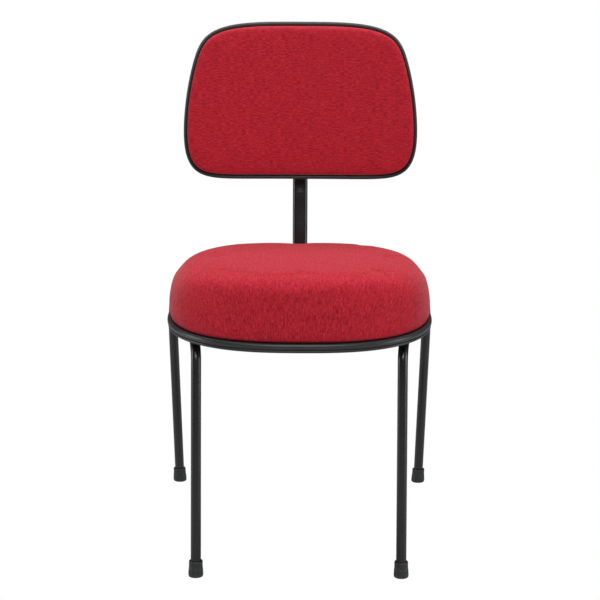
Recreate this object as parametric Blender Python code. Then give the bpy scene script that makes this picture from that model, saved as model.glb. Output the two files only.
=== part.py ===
"""Drum throne: a fixed-height padded seat on four tube legs, with a padded backrest.

The seat is a thick cushion on a moulded plywood board.  The backrest slides up and down
one flat-oval post, is held there by a clamp knob, and tilts on a pivot bolt.
Lengths are in millimetres and become metres when a mesh is made.  The sitter faces -Y,
so the sitter's left is +X.  Z is up and the floor is z = 0.
"""
import math

import bmesh
import bpy
from mathutils import Vector

MM = 0.001
CLEAR = 0.3                       # gap left between neighbouring solids
Y_CENTRE = 176.82                 # moves the middle of the footprint to y = 0

# ---- tube frame -----------------------------------------------------------------
TUBE_R = 8.0
TUBE_WALL = 1.5
TUBE_SEG = 12
FRONT_CORNER = Vector((159.0, 1.2, 365.0))
FRONT_FLOOR = Vector((160.0, -36.0, 0.0))
REAR_CORNER = Vector((222.4, 403.0, 350.0))
REAR_FLOOR = Vector((213.3, 442.0, 0.0))
FRONT_BEND_R = 32.0
REAR_BEND_R = 90.0
LEG_END_Z = 7.0                   # the tube stops this far above the floor, inside its foot
RAIL_FRONT_Y = 38.0               # joint between front leg and side rail
RAIL_REAR_Y = 262.0               # joint between side rail and rear leg
CROSS_FRONT_Y = 76.0
CROSS_REAR_Y = 236.0

# ---- feet -----------------------------------------------------------------------
FOOT_HEIGHT = 25.0
FOOT_FLOOR = 5.0                  # rubber under the end of the leg
FOOT_R_TOP = 10.7
FOOT_R_LOW = 11.7
FOOT_BORE_R = TUBE_R + 0.35

# ---- seat -----------------------------------------------------------------------
SEAT_HALF_W = 209.2
SEAT_MID_Y = 125.4                # widest place
SEAT_FRONT_L = 225.2
SEAT_REAR_L = 177.0
SEAT_N_FRONT = 2.67               # superellipse exponents of the outline
SEAT_N_REAR = 2.7
SEAT_BASE_Z = 372.5               # underside at the widest place
SEAT_SLOPE = math.tan(math.radians(2.0))
SEAT_DROP = 6.0                   # waterfall at the front edge
SEAT_DROP_START = 60.0
PAN_T = 2.2
PAN_LIP = 4.2
BOARD_T = 10.0
BAND_H = 14.0                     # top of the edge profile above the underside
CUSHION_H = 89.8
CUSHION_SIDE_ES = (9.6, 2.45)     # exponents of the crown at the sides and rear: steep, flat on top
CUSHION_FRONT_ES = (24.0, 3.0)    # and at the front, where the top breaks off more sharply
TURN_WEIGHT = 45.0                # mm of profile that a radian of turn counts as
CUSHION_DOME = 3.5                # extra height in the middle
CUSHION_INSET = 3.8
CUSHION_TUCK = 2.8
SKIN_T = 1.6
SEAT_SEG = 40

# ---- seat fixings ---------------------------------------------------------------
BRACKET_YS = (("front", 54.0), ("rear", 204.0))
BRACKET_T = 3.0
SEAT_SCREW_IN = 23.0              # inboard of the rail's centre line
SCREW_R = 2.8
SCREW_HOLE_R = 3.2
TNUT_R = 3.9
TNUT_FLANGE_R = 8.5
TNUT_FLANGE_T = 1.3

# ---- post -----------------------------------------------------------------------
POST_W = 25.0
POST_T = 12.0
POST_WALL = 1.8
POST_LEAN = math.radians(7.0)
POST_Y400 = 352.0                 # the post's centre line 400 mm above the floor
POST_BEND_R = 60.0
POST_TOP_Z = 786.0
POST_FRONT_Y = 48.0
SADDLE_T = 3.0
POST_BOLT_YS = (("front", 112.0), ("rear", 196.0))
STOP_SCREW_Z = 540.5

# ---- carriage on the post -------------------------------------------------------
CENTRE_Z = 691.5                  # height on the post of the backrest's middle
SLEEVE_LOW_Z = 604.0
SLEEVE_HIGH_Z = 690.0
SLEEVE_WALL = 3.2
PIVOT_Z = 668.0
PIVOT_T = 19.0                    # pivot axis in front of the post's centre line
KNOB_Z = 628.0
LUG_HALF_W = 9.2
STUD_R = 3.95

# ---- backrest -------------------------------------------------------------------
BACK_HALF_W = 189.8
BACK_HALF_H = 130.6
BACK_TAPER = -0.086               # the outline narrows towards the top
BACK_BELLY = -0.096
BACK_TOP_N, BACK_TOP_M = 8.45, 3.35
BACK_LOW_N, BACK_LOW_M = 5.4, 8.7
BACK_CURVE_R = 600.0              # the whole backrest is bent round the sitter
SHELL_BACK_T = 33.9
SHELL_T = 2.9
BACK_EDGE_T = 38.0
BACK_BOARD_T = 8.7
BACK_BAND_W = 6.6
BACK_BAND_FRONT = 52.0
BACK_PAD_FRONT = 71.0
BACK_ROUND = 7.5
FOAM_LIFT = 1.4                   # the foam's flat facets stand clear of the curved board
BACK_SEG = 40
BRACKET_W0 = -12.0
BRACKET_SCREWS = ((-24.0, 22.0), (24.0, 22.0), (-24.0, -46.0), (24.0, -46.0))

COLOURS = {
    "frame_steel": ((0.020, 0.020, 0.021, 1), 0.38, 0.0),
    "foot_rubber": ((0.022, 0.024, 0.025, 1), 0.55, 0.0),
    "red_fabric": ((0.34, 0.012, 0.022, 1), 0.90, 0.0),
    "edge_trim": ((0.018, 0.018, 0.019, 1), 0.35, 0.0),
    "black_shell": ((0.020, 0.020, 0.022, 1), 0.55, 0.0),
    "plywood": ((0.42, 0.27, 0.14, 1), 0.60, 0.0),
    "foam": ((0.62, 0.58, 0.45, 1), 0.95, 0.0),
    "zinc_steel": ((0.50, 0.51, 0.52, 1), 0.35, 1.0),
    "knob_plastic": ((0.016, 0.016, 0.017, 1), 0.45, 0.0),
    "brake_pad": ((0.60, 0.59, 0.55, 1), 0.50, 0.0),
}

X_AXIS = Vector((1.0, 0.0, 0.0))
Z_AXIS = Vector((0.0, 0.0, 1.0))
POST_UP = Vector((0.0, math.sin(POST_LEAN), math.cos(POST_LEAN)))
POST_FWD = Vector((0.0, -math.cos(POST_LEAN), math.sin(POST_LEAN)))


# ---- meshes ---------------------------------------------------------------------
def materials():
    """One Principled material for each kind of surface."""
    made = {}
    for name, (colour, rough, metal) in COLOURS.items():
        mat = bpy.data.materials.new(name)
        mat.use_nodes = True
        shader = mat.node_tree.nodes["Principled BSDF"]
        shader.inputs["Base Color"].default_value = colour
        shader.inputs["Roughness"].default_value = rough
        shader.inputs["Metallic"].default_value = metal
        mat.diffuse_color = colour
        made[name] = mat
    return made


def placed(point):
    """A point of the drawing as a world position in metres."""
    return Vector((point.x, point.y - Y_CENTRE, point.z)) * MM


def finish_mesh(obj, sharp_deg):
    """Weld, turn the faces outwards, and shade the round parts smooth."""
    bm = bmesh.new()
    bm.from_mesh(obj.data)
    bmesh.ops.remove_doubles(bm, verts=bm.verts, dist=1e-7)
    bmesh.ops.dissolve_degenerate(bm, edges=bm.edges, dist=1e-8)
    bmesh.ops.recalc_face_normals(bm, faces=bm.faces)
    bm.to_mesh(obj.data)
    bm.free()
    for poly in obj.data.polygons:
        poly.use_smooth = True
    obj.data.set_sharp_from_angle(angle=math.radians(sharp_deg))


def solid(name, shape, slot, origin=None, sharp_deg=35.0):
    """An object from (vertices, faces); its origin goes on a joint's axis if it moves."""
    points, faces = shape
    base = placed(origin) if origin is not None else Vector((0.0, 0.0, 0.0))
    mesh = bpy.data.meshes.new(name)
    mesh.from_pydata([placed(p) - base for p in points], [], faces)
    obj = bpy.data.objects.new(name, mesh)
    obj.location = base
    bpy.context.scene.collection.objects.link(obj)
    mesh.materials.append(MATS[slot])
    finish_mesh(obj, sharp_deg)
    return obj


def skin(loops, wrap=False, first=None, last=None):
    """Join equal closed loops with quads.

    wrap joins the last loop to the first; otherwise each end gets a flat cap,
    or a fan to the point given as first or last.
    """
    n = len(loops[0])
    points = [p for loop in loops for p in loop]
    faces = []
    rows = len(loops) if wrap else len(loops) - 1
    for i in range(rows):
        a, b = i * n, ((i + 1) % len(loops)) * n
        for j in range(n):
            k = (j + 1) % n
            faces.append((a + j, a + k, b + k, b + j))
    if wrap:
        return points, faces
    for tip, start in ((first, 0), (last, (len(loops) - 1) * n)):
        if tip is None:
            faces.append(tuple(range(start, start + n)))
        else:
            points.append(tip)
            faces += [(start + j, start + (j + 1) % n, len(points) - 1) for j in range(n)]
    return points, faces


def merged(shapes):
    """Several closed shells as one mesh, used for cutters."""
    points, faces = [], []
    for pts, fcs in shapes:
        shift = len(points)
        points += pts
        faces += [tuple(i + shift for i in f) for f in fcs]
    return points, faces


def boolean(obj, shape, operation):
    """Cut a shape out of an object, or join it on."""
    tool = solid("tool", shape, "zinc_steel")
    tool.hide_render = True
    tool.display_type = "WIRE"
    mod = obj.modifiers.new("shape", "BOOLEAN")
    mod.solver = "EXACT"
    mod.operation = operation
    mod.object = tool
    graph = bpy.context.evaluated_depsgraph_get()
    mesh = bpy.data.meshes.new_from_object(obj.evaluated_get(graph))
    obj.modifiers.remove(mod)
    old = obj.data
    obj.data = mesh
    mesh.name = obj.name
    bpy.data.meshes.remove(old)
    bpy.data.objects.remove(tool)
    keep = mesh.materials[0]
    mesh.materials.clear()
    mesh.materials.append(keep)
    for poly in mesh.polygons:
        poly.material_index = 0
    finish_mesh(obj, 35.0)
    return obj


def circle(centre, u, v, radius, count, turn=0.0):
    out = []
    for i in range(count):
        a = 2.0 * math.pi * i / count + turn
        out.append(centre + u * (radius * math.cos(a)) + v * (radius * math.sin(a)))
    return out


def across(axis):
    """Two directions square to an axis."""
    u = axis.cross(Z_AXIS)
    if u.length < 0.2:
        u = axis.cross(X_AXIS)
    u.normalize()
    return u, axis.cross(u).normalized()


def turned(profile, origin, axis, count):
    """A solid of revolution from (radius, distance along the axis) steps."""
    u, v = across(axis)
    return skin([circle(origin + axis * s, u, v, r, count) for r, s in profile])


def cylinder(start, end, radius, count):
    axis = (end - start).normalized()
    return turned([(radius, 0.0), (radius, (end - start).length)], start, axis, count)


def block(origin, axes, low, high):
    """A box along three directions, between two corners."""
    loops = []
    for k in (low[2], high[2]):
        loop = []
        for i, j in ((low[0], low[1]), (high[0], low[1]), (high[0], high[1]), (low[0], high[1])):
            loop.append(origin + axes[0] * i + axes[1] * j + axes[2] * k)
        loops.append(loop)
    return skin(loops)


def hexagon(centre, u, v, flat, count=12):
    """A hexagon with a point in the middle of each side, so a round hole can match it."""
    out = []
    for i in range(count):
        a = 2.0 * math.pi * i / count
        off = (a + math.pi / 6.0) % (math.pi / 3.0) - math.pi / 6.0
        r = flat / math.cos(math.pi / 6.0 - abs(off))
        out.append(centre + u * (r * math.cos(a)) + v * (r * math.sin(a)))
    return out


def nut(origin, axis, flat, bore, height):
    u, v = across(axis)
    top = origin + axis * height
    return skin([hexagon(origin, u, v, flat), hexagon(top, u, v, flat),
                 circle(top, u, v, bore, 12), circle(origin, u, v, bore, 12)], wrap=True)


def hex_bolt(origin, axis, flat, head, radius, length):
    """Hexagon head from -head to 0 along the axis, then the shank."""
    u, v = across(axis)
    return skin([hexagon(origin - axis * head, u, v, flat), hexagon(origin, u, v, flat),
                 circle(origin, u, v, radius, 12), circle(origin + axis * length, u, v, radius, 12)])


def button_screw(origin, axis, head_r, head, radius, length):
    """Domed head from -head to 0 along the axis, then the shank."""
    return turned([(head_r * 0.45, -head), (head_r * 0.85, -head * 0.72), (head_r, -head * 0.25),
                   (head_r, 0.0), (radius, 0.0), (radius, length)], origin, axis, 8)


# ---- centre lines ---------------------------------------------------------------
def fillet(before, corner, after, radius, steps):
    """(point, direction) pairs round a bend between two straight runs."""
    d0 = (corner - before).normalized()
    d1 = (after - corner).normalized()
    turn = d0.angle(d1)
    reach = radius * math.tan(turn / 2.0)
    start = corner - d0 * reach
    side = (d1 - d0 * d0.dot(d1)).normalized()
    out = []
    for i in range(steps + 1):
        a = turn * i / steps
        out.append((start + d0 * (radius * math.sin(a)) + side * (radius * (1.0 - math.cos(a))),
                    d0 * math.cos(a) + side * math.sin(a)))
    return out


def round_tube(path, radius, wall, count):
    """A hollow round tube along (point, direction) pairs."""
    outer, inner = [], []
    u = across(path[0][1])[0]
    for point, along in path:
        u = (u - along * u.dot(along)).normalized()
        v = along.cross(u)
        outer.append(circle(point, u, v, radius, count))
        inner.append(circle(point, u, v, radius - wall, count))
    return skin(outer + inner[::-1], wrap=True)


def racetrack(centre, u, v, width, thick, steps=6):
    """A flat-oval section: two half circles joined by straight sides."""
    r = thick / 2.0
    arm = width / 2.0 - r
    out = []
    for sign, start in ((1.0, -math.pi / 2.0), (-1.0, math.pi / 2.0)):
        for i in range(steps + 1):
            a = start + math.pi * i / steps
            out.append(centre + u * (sign * arm + r * math.cos(a)) + v * (r * math.sin(a)))
    return out


def mirrored(point, side):
    return Vector((point.x * side, point.y, point.z))


def rail_point(y):
    """A point of the side rail's centre line."""
    k = (y - FRONT_CORNER.y) / (REAR_CORNER.y - FRONT_CORNER.y)
    return FRONT_CORNER.lerp(REAR_CORNER, k)


def point_at_height(low, high, z):
    return low.lerp(high, (z - low.z) / (high.z - low.z))


# ---- legs, rails and feet -------------------------------------------------------
def leg_path(floor, corner, rail_end, bend_r, steps):
    start = point_at_height(floor, corner, LEG_END_Z)
    bend = fillet(start, corner, rail_end, bend_r, steps)
    along = (rail_end - corner).normalized()
    return [(start, (corner - start).normalized())] + bend + [(rail_end, along)]


def legs_and_rails():
    for name, side in (("left", 1.0), ("right", -1.0)):
        spans = (("front", FRONT_FLOOR, FRONT_CORNER, rail_point(RAIL_FRONT_Y), FRONT_BEND_R, 7),
                 ("rear", REAR_FLOOR, REAR_CORNER, rail_point(RAIL_REAR_Y), REAR_BEND_R, 9))
        for end, floor, corner, stop, bend_r, steps in spans:
            path = leg_path(mirrored(floor, side), mirrored(corner, side), mirrored(stop, side),
                            bend_r, steps)
            solid(f"{end}_leg_{name}", round_tube(path, TUBE_R, TUBE_WALL, TUBE_SEG), "frame_steel")
        a = mirrored(rail_point(RAIL_FRONT_Y + CLEAR), side)
        b = mirrored(rail_point(RAIL_REAR_Y - CLEAR), side)
        along = (b - a).normalized()
        solid(f"side_rail_{name}", round_tube([(a, along), (b, along)], TUBE_R, TUBE_WALL, TUBE_SEG),
              "frame_steel")


def cross_tubes():
    """Two straight tubes butted between the side rails."""
    splay = (REAR_CORNER.x - FRONT_CORNER.x) / (REAR_CORNER.y - FRONT_CORNER.y)
    for name, y in (("front", CROSS_FRONT_Y), ("rear", CROSS_REAR_Y)):
        middle = rail_point(y)
        reach = middle.x - TUBE_R - CLEAR - TUBE_R * splay
        a = Vector((-reach, y, middle.z))
        b = Vector((reach, y, middle.z))
        solid(f"{name}_cross_tube", round_tube([(a, X_AXIS), (b, X_AXIS)], TUBE_R, TUBE_WALL, TUBE_SEG),
              "frame_steel")


def feet():
    """Rubber caps: flat on the floor and sloping with their leg."""
    steps = [(FOOT_R_LOW - 2.2, 0.0), (FOOT_R_LOW - 0.7, 0.7), (FOOT_R_LOW, 2.4),
             (FOOT_R_TOP, FOOT_HEIGHT - 1.4), (FOOT_R_TOP - 0.6, FOOT_HEIGHT),
             (FOOT_BORE_R, FOOT_HEIGHT), (FOOT_BORE_R, FOOT_FLOOR)]
    for end, floor, corner in (("front", FRONT_FLOOR, FRONT_CORNER), ("rear", REAR_FLOOR, REAR_CORNER)):
        for name, side in (("left", 1.0), ("right", -1.0)):
            loops = []
            for radius, z in steps:
                centre = mirrored(point_at_height(floor, corner, z), side)
                loops.append(circle(centre, X_AXIS, Vector((0.0, 1.0, 0.0)), radius, 16))
            solid(f"foot_{end}_{name}", skin(loops), "foot_rubber")


# ---- seat -----------------------------------------------------------------------
def seat_drop(y):
    """How far the seat's underside curves down towards the front."""
    u = (SEAT_MID_Y - SEAT_DROP_START - y) / (SEAT_FRONT_L - SEAT_DROP_START)
    return SEAT_DROP * min(max(u, 0.0), 1.0) ** 2


def seat_base(y):
    """Height of the seat's underside."""
    return SEAT_BASE_Z - SEAT_SLOPE * (y - SEAT_MID_Y) - seat_drop(y)


def evenly(points, count):
    """A closed outline as evenly spaced points."""
    total, marks = 0.0, [0.0]
    n = len(points)
    for i in range(n):
        total += math.dist(points[i], points[(i + 1) % n])
        marks.append(total)
    out, j = [], 0
    for k in range(count):
        want = total * k / count
        while marks[j + 1] < want:
            j += 1
        f = (want - marks[j]) / max(marks[j + 1] - marks[j], 1e-9)
        a, b = points[j], points[(j + 1) % n]
        out.append((a[0] + (b[0] - a[0]) * f, a[1] + (b[1] - a[1]) * f))
    return out


def seat_outline(inset, count):
    """The seat seen from above, starting at the middle of the front."""
    dense = []
    for i in range(720):
        t = 2.0 * math.pi * i / 720
        c, s = math.cos(t), math.sin(t)
        if c > 0:
            n, reach = SEAT_N_FRONT, SEAT_FRONT_L - inset
        else:
            n, reach = SEAT_N_REAR, SEAT_REAR_L - inset
        x = (SEAT_HALF_W - inset) * math.copysign(abs(s) ** (2.0 / n), s)
        dense.append((x, SEAT_MID_Y - math.copysign(reach * abs(c) ** (2.0 / n), c)))
    return evenly(dense, count)


def seat_loop(inset, height, scale=1.0, count=SEAT_SEG):
    """A loop of the seat: an outline at a height above the underside, shrunk by a scale."""
    out = []
    for x, y in seat_outline(inset, count):
        x, y = x * scale, SEAT_MID_Y + (y - SEAT_MID_Y) * scale
        out.append(Vector((x, y, seat_base(y) + height)))
    return out


def seat_middle(height):
    return Vector((0.0, SEAT_MID_Y, seat_base(SEAT_MID_Y) + height))


def seat_plate(edge, low, high):
    """A board that follows the seat's curve; edge is its (inset, height) steps going up."""
    scales = (0.36, 0.72)
    first = edge[0][0]
    last = edge[-1][0]
    loops = [seat_loop(first, low, s) for s in scales]
    loops += [seat_loop(i, h) for i, h in edge]
    loops += [seat_loop(last, high, s) for s in scales[::-1]]
    return skin(loops, first=seat_middle(low), last=seat_middle(high))


def crown(height, steps, exponents):
    """(scale, height) steps of the cushion from its side up to its crown, closer where it turns."""
    side_e, top_e = exponents
    dense = []
    for i in range(401):
        s = math.pi / 2.0 * i / 400
        scale = math.cos(s) ** (2.0 / side_e)
        rise = height * math.sin(s) ** (2.0 / top_e) + CUSHION_DOME * (1.0 - scale * scale)
        dense.append((scale, rise))
    marks, last = [0.0], math.pi / 2.0
    for (k0, h0), (k1, h1) in zip(dense, dense[1:]):
        run, climb = (k0 - k1) * SEAT_HALF_W, h1 - h0
        angle = math.atan2(climb, run)
        marks.append(marks[-1] + math.hypot(run, climb) + TURN_WEIGHT * abs(angle - last))
        last = angle
    out, j = [], 0
    for step in range(steps):
        want = marks[-1] * step / steps
        while marks[j + 1] < want:
            j += 1
        f = (want - marks[j]) / (marks[j + 1] - marks[j])
        k = dense[j][0] + (dense[j + 1][0] - dense[j][0]) * f
        h = dense[j][1] + (dense[j + 1][1] - dense[j][1]) * f
        out.append((k, h))
    return out


def front_share(x, y):
    """1 straight in front of the seat's middle, easing to 0 at its sides and behind."""
    ahead = (max(SEAT_MID_Y - y, 0.0) / SEAT_FRONT_L) ** SEAT_N_FRONT
    aside = (abs(x) / SEAT_HALF_W) ** SEAT_N_FRONT
    return ahead / (ahead + aside)


def crown_loops(inset, skin_in, steps):
    """The cushion's loops above its side; the top stays level where the base drops at the front."""
    height = CUSHION_H - skin_in
    plain = crown(height, steps, CUSHION_SIDE_ES)
    front = crown(height, steps, CUSHION_FRONT_ES)
    loops = []
    for (k0, h0), (k1, h1) in zip(plain[1:], front[1:]):
        loop = []
        for x, y in seat_outline(inset, SEAT_SEG):
            share = front_share(x, y)
            scale = k0 + (k1 - k0) * share
            rise = h0 + (h1 - h0) * share
            x, y = x * scale, SEAT_MID_Y + (y - SEAT_MID_Y) * scale
            rise *= 1.0 + seat_drop(y) / (CUSHION_H + CUSHION_DOME)
            loop.append(Vector((x, y, seat_base(y) + BAND_H + 0.4 + rise)))
        loops.append(loop)
    return loops


def cushion_loops(skin_in, bottom, steps=13):
    """Loops of the cushion's surface, lying skin_in inside its outside."""
    base = BAND_H + 0.4
    inset = CUSHION_INSET + skin_in
    loops = [seat_loop(inset + CUSHION_TUCK, bottom)]
    for up in (4.0, 10.0):
        tuck = CUSHION_TUCK * (1.0 - up / 12.0) ** 2
        loops.append(seat_loop(inset + tuck, base + up))
    loops += crown_loops(inset, skin_in, steps)
    return loops, seat_middle(base + CUSHION_H + CUSHION_DOME - skin_in)


def seat_cover():
    """The fabric skin: outside, hem and inside as one closed body."""
    outer, top_out = cushion_loops(0.0, BAND_H + 0.4)
    inner, top_in = cushion_loops(SKIN_T, BAND_H + 0.4)
    n = SEAT_SEG
    points, faces = skin(outer, last=top_out)
    faces = [f for f in faces if len(f) <= 4]
    under, under_faces = skin(inner, last=top_in)
    shift = len(points)
    points = points + under
    faces += [tuple(i + shift for i in f) for f in under_faces if len(f) <= 4]
    faces += [(j, (j + 1) % n, shift + (j + 1) % n, shift + j) for j in range(n)]
    solid("seat_cover", (points, faces), "red_fabric", sharp_deg=60.0)


def seat_foam():
    inner, top = cushion_loops(SKIN_T + 1.2, BAND_H - 1.0)
    floor = BAND_H - 1.0
    lower = [seat_loop(CUSHION_INSET + SKIN_T + 1.2 + CUSHION_TUCK, floor, s) for s in (0.36, 0.72)]
    solid("seat_foam", skin(lower + inner, first=seat_middle(floor), last=top), "foam",
          sharp_deg=60.0)


def seat_fixing_points():
    """(name, x, y) of the four seat screws."""
    out = []
    for end, y in BRACKET_YS:
        for name, side in (("left", 1.0), ("right", -1.0)):
            out.append((f"{end}_{name}", side * (rail_point(y).x - SEAT_SCREW_IN), y))
    return out


def drill(obj, holes, count=12):
    """Round holes: (start, end, radius)."""
    return boolean(obj, merged([cylinder(a, b, r, count) for a, b, r in holes]), "DIFFERENCE")


def upright(x, y, low, high, radius):
    """A hole square to the seat's underside, between two heights above it."""
    z = seat_base(y)
    return Vector((x, y, z + low)), Vector((x, y, z + high)), radius


def seat_board_and_pan():
    board_in = 7.0
    low = PAN_T + 0.4
    high = low + BOARD_T
    board = solid("seat_board", seat_plate([(board_in, low), (board_in, high)], low, high), "plywood")
    spots = seat_fixing_points()
    drill(board, [upright(x, y, low - 3.0, high + 3.0, TNUT_R + 0.4) for _, x, y in spots])
    drill(board, [upright(x, y, high - TNUT_FLANGE_T - 0.4, high + 3.0, TNUT_FLANGE_R + 0.4)
                  for _, x, y in spots], 16)
    lip = [(1.2, 0.6), (1.2, PAN_LIP), (4.2, PAN_LIP), (4.6, PAN_T)]
    loops = [seat_loop(2.2, 0.0, s) for s in (0.36, 0.72)] + [seat_loop(2.2, 0.0)]
    loops += [seat_loop(i, h) for i, h in lip]
    loops += [seat_loop(4.6, PAN_T, s) for s in (0.72, 0.36)]
    pan = solid("seat_under_pan", skin(loops, first=seat_middle(0.0), last=seat_middle(PAN_T)),
                "black_shell")
    drill(pan, [upright(x, y, -3.0, PAN_T + 3.0, SCREW_HOLE_R) for _, x, y in spots])


def seat_edge_profile():
    """A rounded bead that hides the edge of the board and the hem of the cover."""
    low = PAN_LIP + CLEAR
    section = [(6.4, low), (1.6, low), (0.4, low + 1.4), (0.0, low + 4.0), (0.4, BAND_H - 2.6),
               (1.8, BAND_H - 0.6), (3.4, BAND_H), (6.4, BAND_H)]
    solid("seat_edge_profile", skin([seat_loop(i, h) for i, h in section], wrap=True), "edge_trim",
          sharp_deg=50.0)


def seat_fixings():
    """Brackets welded on the rails, and the screws that hold the seat board."""
    low = PAN_T + 0.4
    top = low + BOARD_T
    for end, y in BRACKET_YS:
        for name, side in (("left", 1.0), ("right", -1.0)):
            rail = rail_point(y)
            x = side * (rail.x - SEAT_SCREW_IN)
            z = seat_base(y)
            plate_top = -0.45
            plate = block(Vector((side * rail.x, y, z)),
                          (X_AXIS * -side, Vector((0.0, 1.0, -SEAT_SLOPE)), Z_AXIS),
                          (-5.0, -13.0, plate_top - BRACKET_T), (37.0, 13.0, plate_top))
            obj = solid(f"seat_bracket_{end}_{name}", plate, "frame_steel")
            hole = (Vector((x, y, z - 8.0)), Vector((x, y, z + 3.0)), SCREW_HOLE_R)
            drill(obj, [hole])
            under = Vector((x, y, z + plate_top - BRACKET_T - CLEAR))
            solid(f"seat_screw_{end}_{name}",
                  button_screw(under, Z_AXIS, 5.2, 3.0, SCREW_R - 0.1, top - z_gap(under, z) - 2.0),
                  "zinc_steel")
            barrel = Vector((x, y, z + low + 1.5))
            u, v = across(Z_AXIS)
            flange = z + top - TNUT_FLANGE_T
            loops = [circle(barrel, u, v, TNUT_R, 12),
                     circle(Vector((x, y, flange)), u, v, TNUT_R, 12),
                     circle(Vector((x, y, flange)), u, v, TNUT_FLANGE_R, 12),
                     circle(Vector((x, y, z + top - 0.2)), u, v, TNUT_FLANGE_R, 12),
                     circle(Vector((x, y, z + top - 0.2)), u, v, SCREW_R + 0.2, 12),
                     circle(barrel, u, v, SCREW_R + 0.2, 12)]
            solid(f"seat_tnut_{end}_{name}", skin(loops, wrap=True), "zinc_steel")


def z_gap(point, base):
    """Height of a point above the seat's underside."""
    return point.z - base


# ---- post -----------------------------------------------------------------------
def post_line(z):
    """A point on the straight upper part of the post."""
    return Vector((0.0, POST_Y400 + (z - 400.0) * math.tan(POST_LEAN), z))


def saddle_level(y):
    """Height of the cross tubes' underside, where the saddle plate is welded."""
    return rail_point(y).z - TUBE_R


def foot_direction():
    """Direction of the post's lower run, level with the rails and pointing back."""
    a = rail_point(CROSS_FRONT_Y).z
    b = rail_point(CROSS_REAR_Y).z
    return Vector((0.0, CROSS_REAR_Y - CROSS_FRONT_Y, b - a)).normalized()


def post_run_point(y):
    """A point on the post's lower run, under the saddle plate."""
    drop = CLEAR + SADDLE_T + CLEAR + POST_T / 2.0
    return Vector((0.0, y, saddle_level(y) - drop))


def post_corner():
    """Where the lower run's line meets the leaning upper part."""
    along = foot_direction()
    start = post_run_point(POST_FRONT_Y)
    low = post_line(0.0)
    # start + along * s = low + POST_UP * t, in y and z
    det = along.y * -POST_UP.z + POST_UP.y * along.z
    dy, dz = low.y - start.y, low.z - start.z
    s = (dy * -POST_UP.z + POST_UP.y * dz) / det
    return start + along * s


def back_post():
    """One flat-oval tube, bent from its lower run up into the leaning upright."""
    start = post_run_point(POST_FRONT_Y)
    top = post_line(POST_TOP_Z)
    corner = post_corner()
    path = [(start, foot_direction())] + fillet(start, corner, top, POST_BEND_R, 8)
    path.append((top, POST_UP))
    outer, inner = [], []
    for point, along in path:
        v = along.cross(X_AXIS)
        outer.append(racetrack(point, X_AXIS, v, POST_W, POST_T))
        inner.append(racetrack(point, X_AXIS, v, POST_W - 2 * POST_WALL, POST_T - 2 * POST_WALL))
    post = solid("back_post", skin(outer + inner[::-1], wrap=True), "frame_steel")
    holes = []
    square = foot_direction().cross(X_AXIS)
    for _, y in POST_BOLT_YS:
        middle = post_run_point(y)
        holes.append((middle - square * 12.0, middle + square * 12.0, SCREW_HOLE_R))
    screw = post_line(STOP_SCREW_Z)
    holes.append((screw, screw + POST_FWD * 12.0, 2.6))
    drill(post, holes)
    for name, point, along in (("top", top, POST_UP), ("front", start, foot_direction() * -1.0)):
        v = along.cross(X_AXIS)
        w_in, t_in = POST_W - 2 * POST_WALL - 0.7, POST_T - 2 * POST_WALL - 0.7
        loops = [racetrack(point - along * 12.0, X_AXIS, v, w_in - 1.0, t_in - 1.0),
                 racetrack(point + along * CLEAR, X_AXIS, v, w_in, t_in),
                 racetrack(point + along * CLEAR, X_AXIS, v, POST_W, POST_T),
                 racetrack(point + along * 1.8, X_AXIS, v, POST_W, POST_T),
                 racetrack(point + along * 2.6, X_AXIS, v, POST_W - 2.0, POST_T - 2.0)]
        solid(f"post_{name}_plug", skin(loops), "knob_plastic")
    head = screw + POST_FWD * (POST_T / 2.0 + CLEAR)
    solid("post_stop_screw", button_screw(head, POST_FWD * -1.0, 4.8, 2.4, 2.2, 8.5), "frame_steel")


def post_saddle():
    """A flat plate welded under both cross tubes, with the post bolted below it."""
    along = foot_direction()
    up = X_AXIS.cross(along)
    mid_y = (CROSS_FRONT_Y + CROSS_REAR_Y) / 2.0
    centre = Vector((0.0, mid_y, saddle_level(mid_y) - CLEAR - SADDLE_T / 2.0))
    half = (CROSS_REAR_Y - CROSS_FRONT_Y) / 2.0 + 14.0
    plate = solid("post_saddle", block(centre, (X_AXIS, along, up), (-30.0, -half, -SADDLE_T / 2.0),
                                       (30.0, half, SADDLE_T / 2.0)), "frame_steel")
    holes = []
    for name, y in POST_BOLT_YS:
        post = post_run_point(y)
        holes.append((post, post + up * 20.0, SCREW_HOLE_R))
        head = post - up * (POST_T / 2.0 + CLEAR)
        length = POST_T + SADDLE_T + 3 * CLEAR + 7.0
        solid(f"post_bolt_{name}", hex_bolt(head, up, 5.0, 4.0, SCREW_R, length), "zinc_steel")
        seat = post + up * (POST_T / 2.0 + CLEAR + SADDLE_T + CLEAR)
        solid(f"post_nut_{name}", nut(seat, up, 5.0, SCREW_R + 0.25, 5.0), "zinc_steel")
    drill(plate, holes)


# ---- carriage -------------------------------------------------------------------
def local(x, fwd, up):
    """A point given from the post: sideways, forwards, and up along it."""
    return post_line(CENTRE_Z) + X_AXIS * x + POST_FWD * fwd + POST_UP * up


def along_post(z):
    """Distance up the post from the backrest's middle to a height."""
    return (z - CENTRE_Z) / math.cos(POST_LEAN)


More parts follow.
